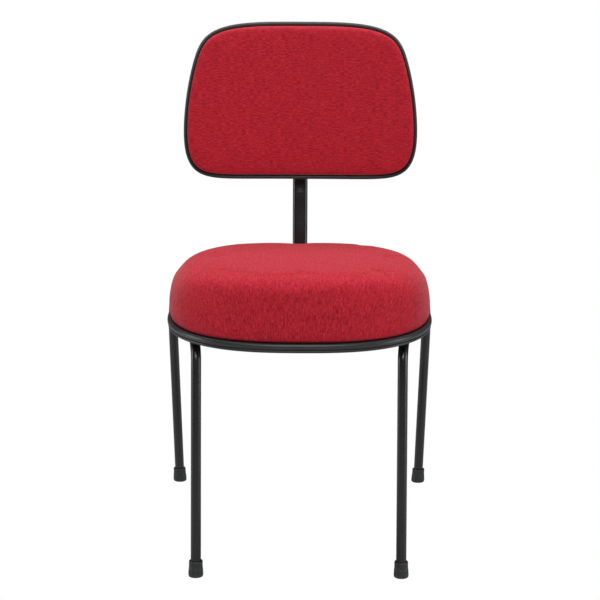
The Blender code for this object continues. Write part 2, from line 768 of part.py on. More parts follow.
def carriage():
    low, high = along_post(SLEEVE_LOW_Z), along_post(SLEEVE_HIGH_Z)
    pivot_up, knob_up = along_post(PIVOT_Z), along_post(KNOB_Z)
    pivot = local(0.0, PIVOT_T, pivot_up)
    bore_w, bore_t = POST_W + 0.7, POST_T + 0.7
    out_w, out_t = bore_w + 2 * SLEEVE_WALL, bore_t + 2 * SLEEVE_WALL
    loops = []
    for w, t, ups in ((out_w, out_t, (low, high)), (bore_w, bore_t, (high, low))):
        for up in ups:
            loops.append(racetrack(local(0.0, 0.0, up), X_AXIS, POST_FWD, w, t))
    sleeve = solid("post_sleeve", skin(loops, wrap=True), "frame_steel", origin=pivot)
    boolean(sleeve, lug_shape(-LUG_HALF_W, LUG_HALF_W, pivot_up, out_t / 2.0 - 1.2, 8.5), "UNION")
    boss_end = -(out_t / 2.0 + 10.0)
    boolean(sleeve, cylinder(local(0.0, -(out_t / 2.0 - 1.2), knob_up),
                             local(0.0, boss_end, knob_up), 9.0, 20), "UNION")
    drill(sleeve, [(local(0.0, -3.0, knob_up), local(0.0, boss_end - 3.0, knob_up), STUD_R + 0.35),
                   (pivot - X_AXIS * 20.0, pivot + X_AXIS * 20.0, SCREW_HOLE_R)], 16)
    ears = LUG_HALF_W + CLEAR + 3.0 + CLEAR
    solid("pivot_bolt", hex_bolt(pivot + X_AXIS * ears, X_AXIS * -1.0, 5.0, 4.0, SCREW_R,
                                 2 * ears + 7.0), "zinc_steel", origin=pivot)
    solid("pivot_nut", nut(pivot - X_AXIS * ears, X_AXIS * -1.0, 5.0, SCREW_R + 0.25, 5.5),
          "zinc_steel", origin=pivot)
    pad_start = POST_T / 2.0 + CLEAR
    pad = (local(0.0, -pad_start, knob_up), local(0.0, -(pad_start + 2.6), knob_up))
    solid("clamp_pad", cylinder(pad[0], pad[1], STUD_R, 16), "brake_pad", origin=pad[0])
    stud_start = pad_start + 2.6 + CLEAR
    face = -boss_end + 2.0
    knob(knob_up, stud_start, face)


def lug_shape(x0, x1, pivot_up, root, radius):
    """A tongue with a round nose about the pivot, from the root forwards."""
    loops = []
    for x in (x0, x1):
        loop = [local(x, root, pivot_up - radius), local(x, PIVOT_T, pivot_up - radius)]
        for i in range(1, 8):
            a = -math.pi / 2.0 + math.pi * i / 8.0
            loop.append(local(x, PIVOT_T + radius * math.cos(a), pivot_up + radius * math.sin(a)))
        loop += [local(x, PIVOT_T, pivot_up + radius), local(x, root, pivot_up + radius)]
        loops.append(loop)
    return skin(loops)


def knob(knob_up, stud_start, face):
    """A five-lobed clamp knob on its threaded stud."""
    axis = POST_FWD * -1.0
    centre = local(0.0, 0.0, knob_up)
    depth = 17.0
    stud_end = face + depth - 5.0
    u, v = X_AXIS, POST_UP
    steps = ((0.50, 0.0), (0.62, 3.0), (0.93, 4.5), (1.0, 7.5), (1.0, 12.5), (0.93, 15.5), (0.70, depth))
    loops = []
    for scale, along in steps:
        loop = []
        for i in range(30):
            a = 2.0 * math.pi * i / 30
            lobe = 1.0 + (0.11 if scale > 0.65 else 0.0) * math.cos(5.0 * a)
            r = 19.0 * scale * lobe
            loop.append(centre + axis * (face + along) + u * (r * math.cos(a)) + v * (r * math.sin(a)))
        loops.append(loop)
    handle = solid("knob_handle", skin(loops), "knob_plastic", origin=centre + axis * face)
    drill(handle, [(centre + axis * (face - 3.0), centre + axis * (stud_end + 0.5), STUD_R + 0.35)], 16)
    solid("knob_stud", cylinder(centre + axis * stud_start, centre + axis * stud_end, STUD_R, 16),
          "zinc_steel", origin=centre + axis * face)


# ---- backrest -------------------------------------------------------------------
def back_outline(inset, count=BACK_SEG):
    """The backrest's outline as (sideways, up) points from the middle of the top."""
    half = []
    for i in range(361):
        v = math.cos(math.pi * i / 360)
        n, m = (BACK_TOP_N, BACK_TOP_M) if v > 0 else (BACK_LOW_N, BACK_LOW_M)
        width = BACK_HALF_W * (1.0 + BACK_TAPER * v + BACK_BELLY * v * v)
        half.append((width * max(1.0 - abs(v) ** n, 0.0) ** (1.0 / m), BACK_HALF_H * v))
    dense = half + [(-x, y) for x, y in half[-2:0:-1]]
    even = evenly(dense, count * 4)
    n = len(even)
    moved = []
    for i in range(n):
        (x0, y0), (x1, y1) = even[i - 2], even[(i + 2) % n]
        length = math.hypot(x1 - x0, y1 - y0)
        x, y = even[i]
        moved.append((x + inset * (y1 - y0) / length, y - inset * (x1 - x0) / length))
    return moved[::4]


def back_loop(inset, fwd, scale=1.0):
    """A loop of the curved backrest at a distance in front of the post."""
    out = []
    for x, up in back_outline(inset):
        x, up = x * scale, up * scale
        out.append(local(x, fwd + x * x / (2.0 * BACK_CURVE_R), up))
    return out


def back_plate(edge, rear, front):
    """A curved sheet; edge is its (inset, forward) steps from back to front."""
    scales = (0.3, 0.65)
    loops = [back_loop(edge[0][0], rear, s) for s in scales]
    loops += [back_loop(i, t) for i, t in edge]
    loops += [back_loop(edge[-1][0], front, s) for s in scales[::-1]]
    return skin(loops, first=local(0.0, rear, 0.0), last=local(0.0, front, 0.0))


def pad_loops(skin_in, start):
    """Loops of the back cushion from its hem, over the rounded edge, to its front."""
    side = BACK_BAND_W + 0.5 + skin_in
    front = BACK_PAD_FRONT - 2.0 - skin_in
    loops = [back_loop(side + 0.4, start), back_loop(side, BACK_BAND_FRONT - 1.0)]
    radius = BACK_ROUND
    for i in range(1, 5):
        a = math.pi / 2.0 * i / 4.0
        loops.append(back_loop(side + radius * (1.0 - math.cos(a)),
                               front - radius + radius * math.sin(a)))
    inner = side + radius
    loops.append(back_loop(inner, front + 1.5, 0.72))
    loops.append(back_loop(inner, front + 2.0, 0.36))
    return loops, local(0.0, front + 2.0, 0.0)


def back_cover(pivot):
    outer, top_out = pad_loops(0.0, BACK_EDGE_T + BACK_BOARD_T + CLEAR)
    inner, top_in = pad_loops(SKIN_T, BACK_EDGE_T + BACK_BOARD_T + CLEAR)
    n = BACK_SEG
    points, faces = skin(outer, last=top_out)
    faces = [f for f in faces if len(f) <= 4]
    under, under_faces = skin(inner, last=top_in)
    shift = len(points)
    points = points + under
    faces += [tuple(i + shift for i in f) for f in under_faces if len(f) <= 4]
    faces += [(j, (j + 1) % n, shift + (j + 1) % n, shift + j) for j in range(n)]
    solid("back_cover", (points, faces), "red_fabric", origin=pivot, sharp_deg=60.0)


def back_foam(pivot):
    start = BACK_EDGE_T + BACK_BOARD_T + FOAM_LIFT
    loops, top = pad_loops(SKIN_T + 0.8, start)
    lower = [back_loop(BACK_BAND_W + SKIN_T + 1.7, start, s) for s in (0.3, 0.65)]
    solid("back_foam", skin(lower + loops, first=local(0.0, start, 0.0), last=top), "foam",
          origin=pivot, sharp_deg=60.0)


def back_hardware(pivot):
    """The bracket with its two ears, and its screws."""
    rear = SHELL_BACK_T - CLEAR - 3.0
    pivot_up = along_post(PIVOT_Z)
    axes = (X_AXIS, POST_FWD, POST_UP)
    shape = block(local(0.0, 0.0, BRACKET_W0), axes, (-35.0, rear, -46.0), (35.0, rear + 3.0, 46.0))
    bracket = solid("back_bracket", shape, "frame_steel", origin=pivot)
    inside = LUG_HALF_W + CLEAR
    for x0, x1 in ((inside, inside + 3.0), (-inside - 3.0, -inside)):
        boolean(bracket, ear_shape(x0, x1, pivot_up, rear + 1.0, 8.8), "UNION")
    drill(bracket, [(pivot - X_AXIS * 20.0, pivot + X_AXIS * 20.0, SCREW_HOLE_R)])
    holes = [(local(x, rear - 4.0, up), local(x, BACK_BAND_FRONT, up), 2.6) for x, up in BRACKET_SCREWS]
    drill(bracket, holes)
    for number, (x, up) in enumerate(BRACKET_SCREWS, 1):
        head = local(x, rear - CLEAR, up)
        solid(f"bracket_screw_{number}", button_screw(head, POST_FWD, 4.4, 2.5, 2.2, 15.5),
              "zinc_steel", origin=pivot)
    return holes


def ear_shape(x0, x1, pivot_up, root, radius):
    """An ear with a round nose about the pivot, from the plate backwards."""
    loops = []
    for x in (x0, x1):
        loop = [local(x, root, pivot_up + radius + 4.0), local(x, PIVOT_T, pivot_up + radius)]
        for i in range(1, 8):
            a = math.pi / 2.0 + math.pi * i / 8.0
            loop.append(local(x, PIVOT_T + radius * math.cos(a), pivot_up + radius * math.sin(a)))
        loop += [local(x, PIVOT_T, pivot_up - radius), local(x, root, pivot_up - radius - 4.0)]
        loops.append(loop)
    return skin(loops)


def backrest():
    pivot = local(0.0, PIVOT_T, along_post(PIVOT_Z))
    holes = back_hardware(pivot)
    rear, edge = SHELL_BACK_T, BACK_EDGE_T
    shell = solid("back_rear_shell",
                  back_plate([(3.4, rear), (1.6, rear + 0.9), (1.2, rear + SHELL_T)],
                             rear, rear + SHELL_T), "black_shell", origin=pivot)
    drill(shell, holes)
    board_in = BACK_BAND_W + 0.5
    board = solid("back_board", back_plate([(board_in, edge), (board_in, edge + BACK_BOARD_T)],
                                           edge, edge + BACK_BOARD_T), "plywood", origin=pivot)
    drill(board, holes)
    front = BACK_BAND_FRONT
    section = [(BACK_BAND_W, edge), (1.6, edge), (0.4, edge + 1.6), (0.0, edge + 5.0), (0.3, front - 3.4),
               (1.6, front - 1.0), (3.4, front), (BACK_BAND_W, front - 0.6)]
    solid("back_edge_profile", skin([back_loop(i, t) for i, t in section], wrap=True), "edge_trim",
          origin=pivot, sharp_deg=50.0)
    back_cover(pivot)
    back_foam(pivot)


for old in list(bpy.data.objects):
    bpy.data.objects.remove(old, do_unlink=True)
MATS = materials()
legs_and_rails()
cross_tubes()
feet()
seat_board_and_pan()
seat_edge_profile()
seat_foam()
seat_cover()
seat_fixings()
back_post()
post_saddle()
carriage()
backrest()
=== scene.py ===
"""The looks of a padded seat with a backrest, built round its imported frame.

Shapes are drawn in millimetres: x to the sitter's left, y to the back, z up from the floor.
`placed` turns a drawn point into the frame's metres.  A piece that stands for a CAD node
follows that node's driving dimensions.
"""
import math

import bmesh
import bpy
import numpy as np
from mathutils import Matrix, Vector, noise


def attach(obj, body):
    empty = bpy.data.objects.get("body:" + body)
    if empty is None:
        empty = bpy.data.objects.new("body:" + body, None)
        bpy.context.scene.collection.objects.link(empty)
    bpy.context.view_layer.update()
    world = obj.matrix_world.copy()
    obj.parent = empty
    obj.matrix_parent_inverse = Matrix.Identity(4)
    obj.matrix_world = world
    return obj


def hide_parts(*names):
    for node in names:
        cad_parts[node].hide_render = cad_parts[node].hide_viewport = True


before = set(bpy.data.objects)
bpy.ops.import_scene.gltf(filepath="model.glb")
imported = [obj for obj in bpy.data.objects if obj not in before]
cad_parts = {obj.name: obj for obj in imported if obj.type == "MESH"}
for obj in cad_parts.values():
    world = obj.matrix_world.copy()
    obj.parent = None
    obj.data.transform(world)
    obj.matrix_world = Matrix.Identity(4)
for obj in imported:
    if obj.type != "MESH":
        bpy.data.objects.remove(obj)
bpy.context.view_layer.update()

scene = bpy.context.scene
MM = 0.001
SIM_FRAMES = 20
ROUND = 48                        # points round a turned part
Y_CENTRE = 176.82                 # the drawing's y at the middle of the footprint

# ---- driving dimensions, as in the CAD ------------------------------------------
TUBE_R = 8.0
FRONT_CORNER = np.array((159.0, 1.2, 365.0))
FRONT_FLOOR = np.array((160.0, -36.0, 0.0))
REAR_CORNER = np.array((222.4, 403.0, 350.0))
REAR_FLOOR = np.array((213.3, 442.0, 0.0))
FRONT_BEND_R = 32.0
REAR_BEND_R = 90.0
LEG_END_Z = 7.0
CROSS_YS = (("front", 76.0), ("rear", 236.0))

SEAT_HALF_W = 209.2
SEAT_MID_Y = 125.4
SEAT_FRONT_L = 225.2
SEAT_REAR_L = 177.0
SEAT_N_FRONT = 2.67
SEAT_N_REAR = 2.7
SEAT_BASE_Z = 372.5
SEAT_SLOPE = math.tan(math.radians(2.0))
SEAT_DROP = 6.0
SEAT_DROP_START = 60.0
PAN_T = 2.2
PAN_LIP = 4.2
BOARD_TOP = 12.6                  # above the seat's underside
BAND_H = 14.0
EDGE_BULGE = 3.4                  # how far an edge profile's nose stands out
EDGE_POINTS = 288                 # points round an edge profile
CUSHION_H = 89.8
CUSHION_SIDE_ES = (9.6, 2.45)     # exponents of the crown at the sides and rear: steep, flat on top
CUSHION_FRONT_ES = (24.0, 3.0)    # and at the front, where the top breaks off more sharply
CUSHION_DOME = 3.5
CUSHION_INSET = 3.8
CUSHION_TUCK = 2.8
BRACKET_YS = (("front", 54.0), ("rear", 204.0))
SEAT_SCREW_IN = 23.0

POST_W = 25.0
POST_T = 12.0
POST_LEAN = math.radians(7.0)
POST_Y400 = 352.0
POST_BEND_R = 60.0
POST_TOP_Z = 786.0
POST_FRONT_Y = 48.0
SADDLE_T = 3.0
BOLT_FLAT, BOLT_HEAD, BOLT_R = 5.0, 4.0, 2.8
POST_BOLT_YS = (("front", 112.0), ("rear", 196.0))
STOP_SCREW_Z = 540.5
CLEAR = 0.3

CENTRE_Z = 691.5
SLEEVE_ZS = (604.0, 690.0)
SLEEVE_WALL = 3.2
PIVOT_Z = 668.0
PIVOT_T = 19.0
KNOB_Z = 628.0
LUG_HALF_W = 9.2
EAR_T = 3.0
STUD_R = 3.95
BOSS_R, BOSS_L = 9.0, 10.0
PAD_T = 2.6                       # the brake pad between stud and post

BACK_HALF_W = 189.8
BACK_HALF_H = 130.6
BACK_TAPER = -0.086
BACK_BELLY = -0.096
BACK_TOP = (8.45, 3.35)            # exponents of the outline's upper half
BACK_LOW = (5.4, 8.7)
BACK_CURVE_R = 600.0
SHELL_BACK_T = 33.9
SHELL_T = 2.9
BACK_EDGE_T = 38.0
BACK_BOARD_T = 8.7
BACK_BAND_W = 6.6
BACK_BAND_FRONT = 52.0
BACK_PAD_FRONT = 71.0
BACK_ROUND = 7.5
BRACKET_SCREWS = ((-24.0, 22.0), (24.0, 22.0), (-24.0, -46.0), (24.0, -46.0))

X, Y, Z = np.eye(3)
SIDES = (("left", 1.0), ("right", -1.0))
POST_UP = np.array((0.0, math.sin(POST_LEAN), math.cos(POST_LEAN)))
POST_FWD = np.array((0.0, -math.cos(POST_LEAN), math.sin(POST_LEAN)))


# ---- meshes ---------------------------------------------------------------------
def placed(points):
    return (np.asarray(points, float) - (0.0, Y_CENTRE, 0.0)) * MM


def unit(v):
    return v / np.linalg.norm(v)


def mirrored(point, side):
    return np.array((point[0] * side, point[1], point[2]))


def turns(count):
    """Evenly spaced angles round a full turn."""
    return 2.0 * math.pi * np.arange(count) / count


class Shape:
    """Points and faces gathered into one closed mesh."""

    def __init__(self):
        self.rows = []
        self.faces = []
        self.count = 0

    def add(self, points):
        """Adds points and returns their numbers."""
        self.rows.append(np.asarray(points, float).reshape(-1, 3))
        start = self.count
        self.count += len(self.rows[-1])
        return np.arange(start, self.count)

    def band(self, a, b):
        """Quads between two closed loops of points."""
        self.faces += np.column_stack([a, np.roll(a, -1), np.roll(b, -1), b]).tolist()

    def grow(self, rim, loop):
        """Adds a closed loop, joins it to a rim, and returns its numbers."""
        numbers = self.add(loop)
        self.band(rim, numbers)
        return numbers

    def points(self):
        return np.vstack(self.rows)


def lofted(loops, wrap=False):
    """Joins equal closed loops; wrap joins the last to the first, or each end gets a cap."""
    shape = Shape()
    numbers = [shape.add(loop) for loop in loops]
    for a, b in zip(numbers, numbers[1:]):
        shape.band(a, b)
    if wrap:
        shape.band(numbers[-1], numbers[0])
    else:
        shape.faces += [numbers[0].tolist(), numbers[-1].tolist()]
    return shape


def piece(name, shape, material, body, replaces=(), sharp=40.0, uv=None):
    """An object of the visual model, riding on a CAD body.  uv is one (u, v) for each point."""
    mesh = bpy.data.meshes.new(name)
    mesh.from_pydata(placed(shape.points()).tolist(), [], shape.faces)
    bm = bmesh.new()
    bm.from_mesh(mesh)
    bmesh.ops.recalc_face_normals(bm, faces=bm.faces)
    bm.to_mesh(mesh)
    bm.free()
    if uv is not None:
        layer = mesh.uv_layers.new(name="cloth")
        corners = np.empty(len(mesh.loops), int)
        mesh.loops.foreach_get("vertex_index", corners)
        layer.data.foreach_set("uv", np.asarray(uv)[corners].ravel())
    mesh.shade_smooth()
    mesh.set_sharp_from_angle(angle=math.radians(sharp))
    mesh.materials.append(material)
    obj = bpy.data.objects.new(name, mesh)
    scene.collection.objects.link(obj)
    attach(obj, body)
    if replaces:
        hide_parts(*replaces)
    return obj


def steel(name, shape, body="frame", replaces=()):
    """A powder-coated steel piece."""
    piece(name, shape, COAT, body, replaces)


def fastener(name, shape, body, node):
    """A zinc-plated bolt, nut, screw or stud."""
    piece(name, shape, ZINC, body, (node,))


def resampled(points, count):
    """A closed outline as evenly spaced points."""
    closed = np.vstack([points, points[:1]])
    steps = np.linalg.norm(np.diff(closed, axis=0), axis=1)
    marks = np.concatenate([[0.0], np.cumsum(steps)])
    wanted = np.arange(count) / count * marks[-1]
    return np.column_stack([np.interp(wanted, marks, column) for column in closed.T])


def ring(centre, u, v, radius, count=ROUND):
    """A circle, or any closed curve whose radius is given for each point."""
    a = turns(count)
    r = np.broadcast_to(radius, count)[:, None]
    return centre + r * (np.cos(a)[:, None] * u + np.sin(a)[:, None] * v)


def across(axis):
    """Two directions square to an axis."""
    u = np.cross(axis, Z)
    if np.linalg.norm(u) < 0.2:
        u = np.cross(axis, X)
    u = unit(u)
    return u, np.cross(axis, u)


def fillet(before, corner, after, radius, steps):
    """(point, direction) pairs round a bend between two straight runs."""
    d0 = unit(corner - before)
    d1 = unit(after - corner)
    turn = math.acos(np.clip(d0 @ d1, -1.0, 1.0))
    start = corner - d0 * (radius * math.tan(turn / 2.0))
    side = unit(d1 - d0 * (d0 @ d1))
    angles = turn * np.arange(steps + 1) / steps
    return [(start + d0 * (radius * math.sin(a)) + side * (radius * (1.0 - math.cos(a))),
             d0 * math.cos(a) + side * math.sin(a)) for a in angles]


def straight(a, b, steps):
    """(point, direction) pairs from a to just before b."""
    along = unit(b - a)
    return [(a + (b - a) * (i / steps), along) for i in range(steps)]


def tube(path, radius, count=40):
    """A round tube along (point, direction) pairs; radius may be a list, one for each pair."""
    loops = []
    u = across(path[0][1])[0]
    for (point, along), r in zip(path, np.broadcast_to(radius, len(path))):
        u = unit(u - along * (u @ along))
        loops.append(ring(point, u, np.cross(along, u), r, count))
    return loops


def racetrack(centre, u, v, width, thick, steps=16):
    """A flat-oval section: two half circles joined by straight sides."""
    r = thick / 2.0
    out = []
    for sign, start in ((1.0, -math.pi / 2.0), (-1.0, math.pi / 2.0)):
        a = start + math.pi * np.arange(steps + 1) / steps
        side = sign * (width / 2.0 - r) + r * np.cos(a)
        out.append(centre + side[:, None] * u + (r * np.sin(a))[:, None] * v)
    return np.vstack(out)


class Disc:
    """A patch of quads with no pole: square rings of points, stretched to an outline."""

    def __init__(self, half):
        side = 2 * half + 1
        j, i = np.mgrid[0:side, 0:side] - half
        i, j = i.ravel(), j.ravel()
        r = np.maximum(abs(i), abs(j))
        place = np.select(
            [(j == -r) & (i >= 0), (i == r), (j == r), (i == -r)],
            [i, 2 * r + j, 4 * r - i, 6 * r - j], 8 * r + i)
        self.size = 8 * half
        self.level = r / half                     # 0 in the middle, 1 on the rim
        self.turn = place / np.maximum(8 * r, 1)  # how far round its ring a point is
        self.square = np.column_stack([i, j]) / half
        number = np.arange(side * side).reshape(side, side)
        self.faces = np.column_stack([number[:-1, :-1].ravel(), number[:-1, 1:].ravel(),
                                      number[1:, 1:].ravel(), number[1:, :-1].ravel()])
        rim = np.flatnonzero(r == half)
        self.rim = rim[np.argsort(self.turn[rim])]

    def spread(self, outline, middle):
        """Plan positions: an evenly spaced outline shrunk ring by ring towards the middle."""
        loop = np.vstack([outline, outline[:1]])
        at = self.turn * len(outline)
        rim = np.column_stack([np.interp(at, np.arange(len(loop)), column) for column in loop.T])
        ringed = middle + (rim - middle) * self.level[:, None]
        reach = (outline.max(0) - outline.min(0)) / 2.0
        squared = middle + self.square * reach
        w = np.clip(self.level / 0.75, 0.0, 1.0)
        w = (w * w * (3.0 - 2.0 * w))[:, None]
        return squared * (1.0 - w) + ringed * w


def add_disc(shape, disc, points):
    """Adds a disc to a shape and returns its rim's point numbers."""
    numbers = shape.add(points)
    shape.faces += numbers[disc.faces].tolist()
    return numbers[disc.rim]


def slab(disc, low, loops, high):
    """A closed sheet: a disc below, loops round its edge, and a disc above."""
    shape = Shape()
    rim = add_disc(shape, disc, low)
    for loop in loops:
        rim = shape.grow(rim, loop)
    shape.band(rim, add_disc(shape, disc, high))
    return shape


# ---- materials ------------------------------------------------------------------
class Finish:
    """A material's node tree, with short ways to add to it."""

    def __init__(self, name, colour, rough, metal=0.0, specular=0.5):
        self.mat = bpy.data.materials.new(name)
        self.mat.use_nodes = True
        self.tree = self.mat.node_tree
        self.shader = self.tree.nodes["Principled BSDF"]
        self.shader.inputs["Base Color"].default_value = (*colour, 1.0)
        self.shader.inputs["Roughness"].default_value = rough
        self.shader.inputs["Metallic"].default_value = metal
        self.shader.inputs["Specular IOR Level"].default_value = specular
        self.mat.diffuse_color = (*colour, 1.0)
        self.height = None

    def node(self, kind, inputs=(), **settings):
        made = self.tree.nodes.new("ShaderNode" + kind)
        for key, value in settings.items():
            setattr(made, key, value)
        for key, value in dict(inputs).items():
            if isinstance(value, bpy.types.NodeSocket):
                self.tree.links.new(value, made.inputs[key])
            else:
                made.inputs[key].default_value = value
        return made

    def object_mm(self, size=1.0):
        """The object's own coordinates in millimetres, divided by a feature size, one or each way."""
        where = self.node("TexCoord").outputs["Object"]
        scale = tuple(1000.0 / s for s in np.broadcast_to(size, 3))
        return self.node("Mapping", {"Vector": where, "Scale": scale}).outputs[0]

    def cloth_mm(self, stretch):
        """The cloth's flat coordinates in millimetres, divided by a feature size each way."""
        where = self.node("UVMap", uv_map="cloth").outputs["UV"]
        scale = (1000.0 / stretch[0], 1000.0 / stretch[1], 1.0)
        return self.node("Mapping", {"Vector": where, "Scale": scale}).outputs[0]

    def noise(self, where, detail=2.0, rough=0.5, distort=0.0):
        made = self.node("TexNoise", {"Vector": where, "Scale": 1.0, "Detail": detail,
                                      "Roughness": rough, "Distortion": distort})
        return made.outputs["Fac"]

    def grain(self, size, detail=2.0, rough=0.5, distort=0.0):
        """Noise in the object's own millimetres."""
        return self.noise(self.object_mm(size), detail, rough, distort)

    def maths(self, operation, a, b=0.0, c=0.0):
        return self.node("Math", {0: a, 1: b, 2: c}, operation=operation).outputs[0]

    def ranged(self, value, low, high, to_low, to_high):
        made = self.node("MapRange", {"Value": value, "From Min": low, "From Max": high,
                                      "To Min": to_low, "To Max": to_high})
        return made.outputs["Result"]

    def spread(self, noise, low, high):
        """Noise, which keeps mostly between 0.3 and 0.7, stretched from low to high."""
        return self.ranged(noise, 0.3, 0.7, low, high)

    def blend(self, factor, a, b):
        made = self.node("Mix", {0: factor, 6: (*a, 1.0) if isinstance(a, tuple) else a,
                                 7: (*b, 1.0) if isinstance(b, tuple) else b}, data_type="RGBA")
        return made.outputs[2]

    def colour(self, socket):
        self.tree.links.new(socket, self.shader.inputs["Base Color"])

    def roughness(self, socket):
        self.tree.links.new(socket, self.shader.inputs["Roughness"])

    def bump(self, height, depth_mm, strength=1.0):
        """Adds relief; several calls lie on each other."""
        inputs = {"Height": height, "Distance": depth_mm * MM, "Strength": strength}
        if self.height is not None:
            inputs["Normal"] = self.height
        self.height = self.node("Bump", inputs).outputs[0]
        self.tree.links.new(self.height, self.shader.inputs["Normal"])


RED = (0.392, 0.0105, 0.0228)
RED_DARK = (0.215, 0.0055, 0.0150)
RED_LIGHT = (0.500, 0.0260, 0.0400)


def melange(name, along_u, run, blotch):
    """Red melange cloth: a plain weave with darker and paler flecks, run mm long."""
    f = Finish(name, RED, 0.86, specular=0.16)
    f.shader.inputs["Sheen Weight"].default_value = 0.15
    f.shader.inputs["Sheen Roughness"].default_value = 0.30
    f.shader.inputs["Sheen Tint"].default_value = (1.0, 0.72, 0.76, 1.0)

    def lie(long, short):
        return (long, short) if along_u else (short, long)

    streaks = f.noise(f.cloth_mm(lie(run, 1.6)), detail=3.0, rough=0.6)
    flecks = f.noise(f.cloth_mm(lie(2.2, 1.1)), detail=2.0, rough=0.6)
    slubs = f.noise(f.cloth_mm(lie(*blotch[:2])), detail=2.0, rough=0.6)
    clouds = f.noise(f.cloth_mm((26.0, 26.0)), detail=3.0, rough=0.55)
    tone = f.maths("MULTIPLY_ADD", streaks, 0.66, f.maths("MULTIPLY", flecks, 0.34))
    tone = f.maths("MULTIPLY_ADD", f.maths("SUBTRACT", slubs, 0.5), blotch[2], tone)
    tone = f.maths("MULTIPLY_ADD", f.maths("SUBTRACT", clouds, 0.5), 0.10, tone)
    dark = f.ranged(tone, 0.39, 0.48, 1.0, 0.0)
    pale = f.ranged(tone, 0.51, 0.64, 0.0, 1.0)
    shade = f.blend(dark, f.blend(pale, RED, RED_LIGHT), RED_DARK)
    f.colour(shade)
    f.roughness(f.spread(flecks, 0.80, 0.94))
    wander = f.noise(f.cloth_mm((3.5, 3.5)), detail=1.0)
    split = f.node("SeparateXYZ", {"Vector": f.cloth_mm((0.95, 0.95))})
    over = f.maths("SINE", f.maths("MULTIPLY_ADD", split.outputs[0], math.pi, wander))
    under = f.maths("SINE", f.maths("MULTIPLY_ADD", split.outputs[1], math.pi, wander))
    weave = f.maths("MULTIPLY", over, under)
    f.bump(f.maths("MULTIPLY_ADD", flecks, 1.4, weave), 0.11, 0.8)
    return f.mat


def shades(colour, *factors):
    """Darker and paler versions of a colour."""
    return (tuple(c * factor for c in colour) for factor in factors)


def powder_coat():
    """Satin black powder coat: orange peel, slight colour drift and small scuffs."""
    colour, rough = (0.0080, 0.0080, 0.0088), 0.26
    f = Finish("powder_coat", colour, rough)
    drift = f.grain(45.0, detail=3.0)
    scuffs = f.grain((1.3, 1.3, 9.0), detail=4.0, rough=0.7, distort=0.4)
    scuff = f.ranged(scuffs, 0.67, 0.76, 0.0, 1.0)
    darker, paler, worn = shades(colour, 0.85, 1.15, 2.6)
    f.colour(f.blend(f.maths("MULTIPLY", scuff, 0.5), f.blend(drift, darker, paler), worn))
    peel = f.grain(1.1, detail=2.0)
    f.roughness(f.maths("MULTIPLY_ADD", scuff, 0.18, f.spread(drift, rough - 0.04, rough + 0.06)))
    f.bump(peel, 0.035, 0.5)
    return f.mat


def rubber():
    """Moulded rubber, dusty near the floor."""
    f = Finish("foot_rubber_finish", (0.016, 0.019, 0.020), 0.52, specular=0.42)
    speckle = f.grain(0.8, detail=3.0)
    height = f.node("SeparateXYZ", {"Vector": f.object_mm()}).outputs[2]
    near_floor = f.ranged(height, 0.0, 7.0, 0.55, 0.0)
    dust = f.maths("MULTIPLY", near_floor, f.grain((3.0, 3.0, 2.0), detail=4.0))
    plain = f.blend(speckle, (0.013, 0.016, 0.017), (0.021, 0.024, 0.025))
    f.colour(f.blend(dust, plain, (0.12, 0.11, 0.10)))
    f.roughness(f.maths("MULTIPLY_ADD", dust, 0.4, f.spread(speckle, 0.46, 0.60)))
    f.bump(speckle, 0.06, 0.6)
    return f.mat


def trim():
    """Soft black PVC: slightly uneven gloss and fine handling marks."""
    f = Finish("edge_trim_finish", (0.017, 0.018, 0.019), 0.38, specular=0.45)
    drift = f.grain((18.0, 18.0, 9.0), detail=4.0, rough=0.6)
    f.colour(f.blend(drift, (0.013, 0.014, 0.015), (0.024, 0.025, 0.027)))
    marks = f.grain((0.7, 0.7, 2.5), detail=3.0)
    f.roughness(f.maths("MULTIPLY_ADD", marks, 0.10, f.spread(drift, 0.30, 0.40)))
    f.bump(marks, 0.03, 0.5)
    return f.mat


def grained_plastic(name, colour, rough, cell):
    """Moulded plastic with a leather-like grain of a given cell size."""
    f = Finish(name, colour, rough, specular=0.45)
    where = f.object_mm(cell)
    bend = f.node("VectorMath", {0: where, 1: f.node("TexNoise", {"Vector": where}).outputs["Color"]},
                  operation="ADD").outputs[0]
    cells = f.node("TexVoronoi", {"Vector": bend, "Scale": 1.0, "Smoothness": 0.5},
                   feature="SMOOTH_F1").outputs["Distance"]
    fine = f.grain(cell / 4.0)
    drift = f.grain(40.0, detail=3.0)
    f.colour(f.blend(drift, *shades(colour, 0.85, 1.25)))
    f.roughness(f.ranged(f.maths("ADD", cells, fine), 0.5, 1.4, rough - 0.08, rough + 0.10))
    f.bump(f.maths("MULTIPLY_ADD", cells, -1.0, f.maths("MULTIPLY", fine, 0.25)), 0.10, 0.7)
    return f.mat


def plywood():
    """Beech plywood: long grain lines, pores and darker plies."""
    f = Finish("plywood_finish", (0.42, 0.27, 0.14), 0.55)
    grain = f.grain((60.0, 2.2, 2.2), detail=5.0, rough=0.6, distort=0.6)
    pores = f.grain((6.0, 0.5, 0.5), detail=2.0)
    shade = f.blend(f.ranged(grain, 0.35, 0.65, 0.0, 1.0), (0.34, 0.20, 0.095), (0.50, 0.33, 0.18))
    pore = f.ranged(pores, 0.62, 0.72, 0.0, 0.6)
    f.colour(f.blend(pore, shade, (0.20, 0.11, 0.05)))
    f.roughness(f.spread(grain, 0.48, 0.62))
    f.bump(f.maths("SUBTRACT", grain, pore), 0.08, 0.6)
    return f.mat


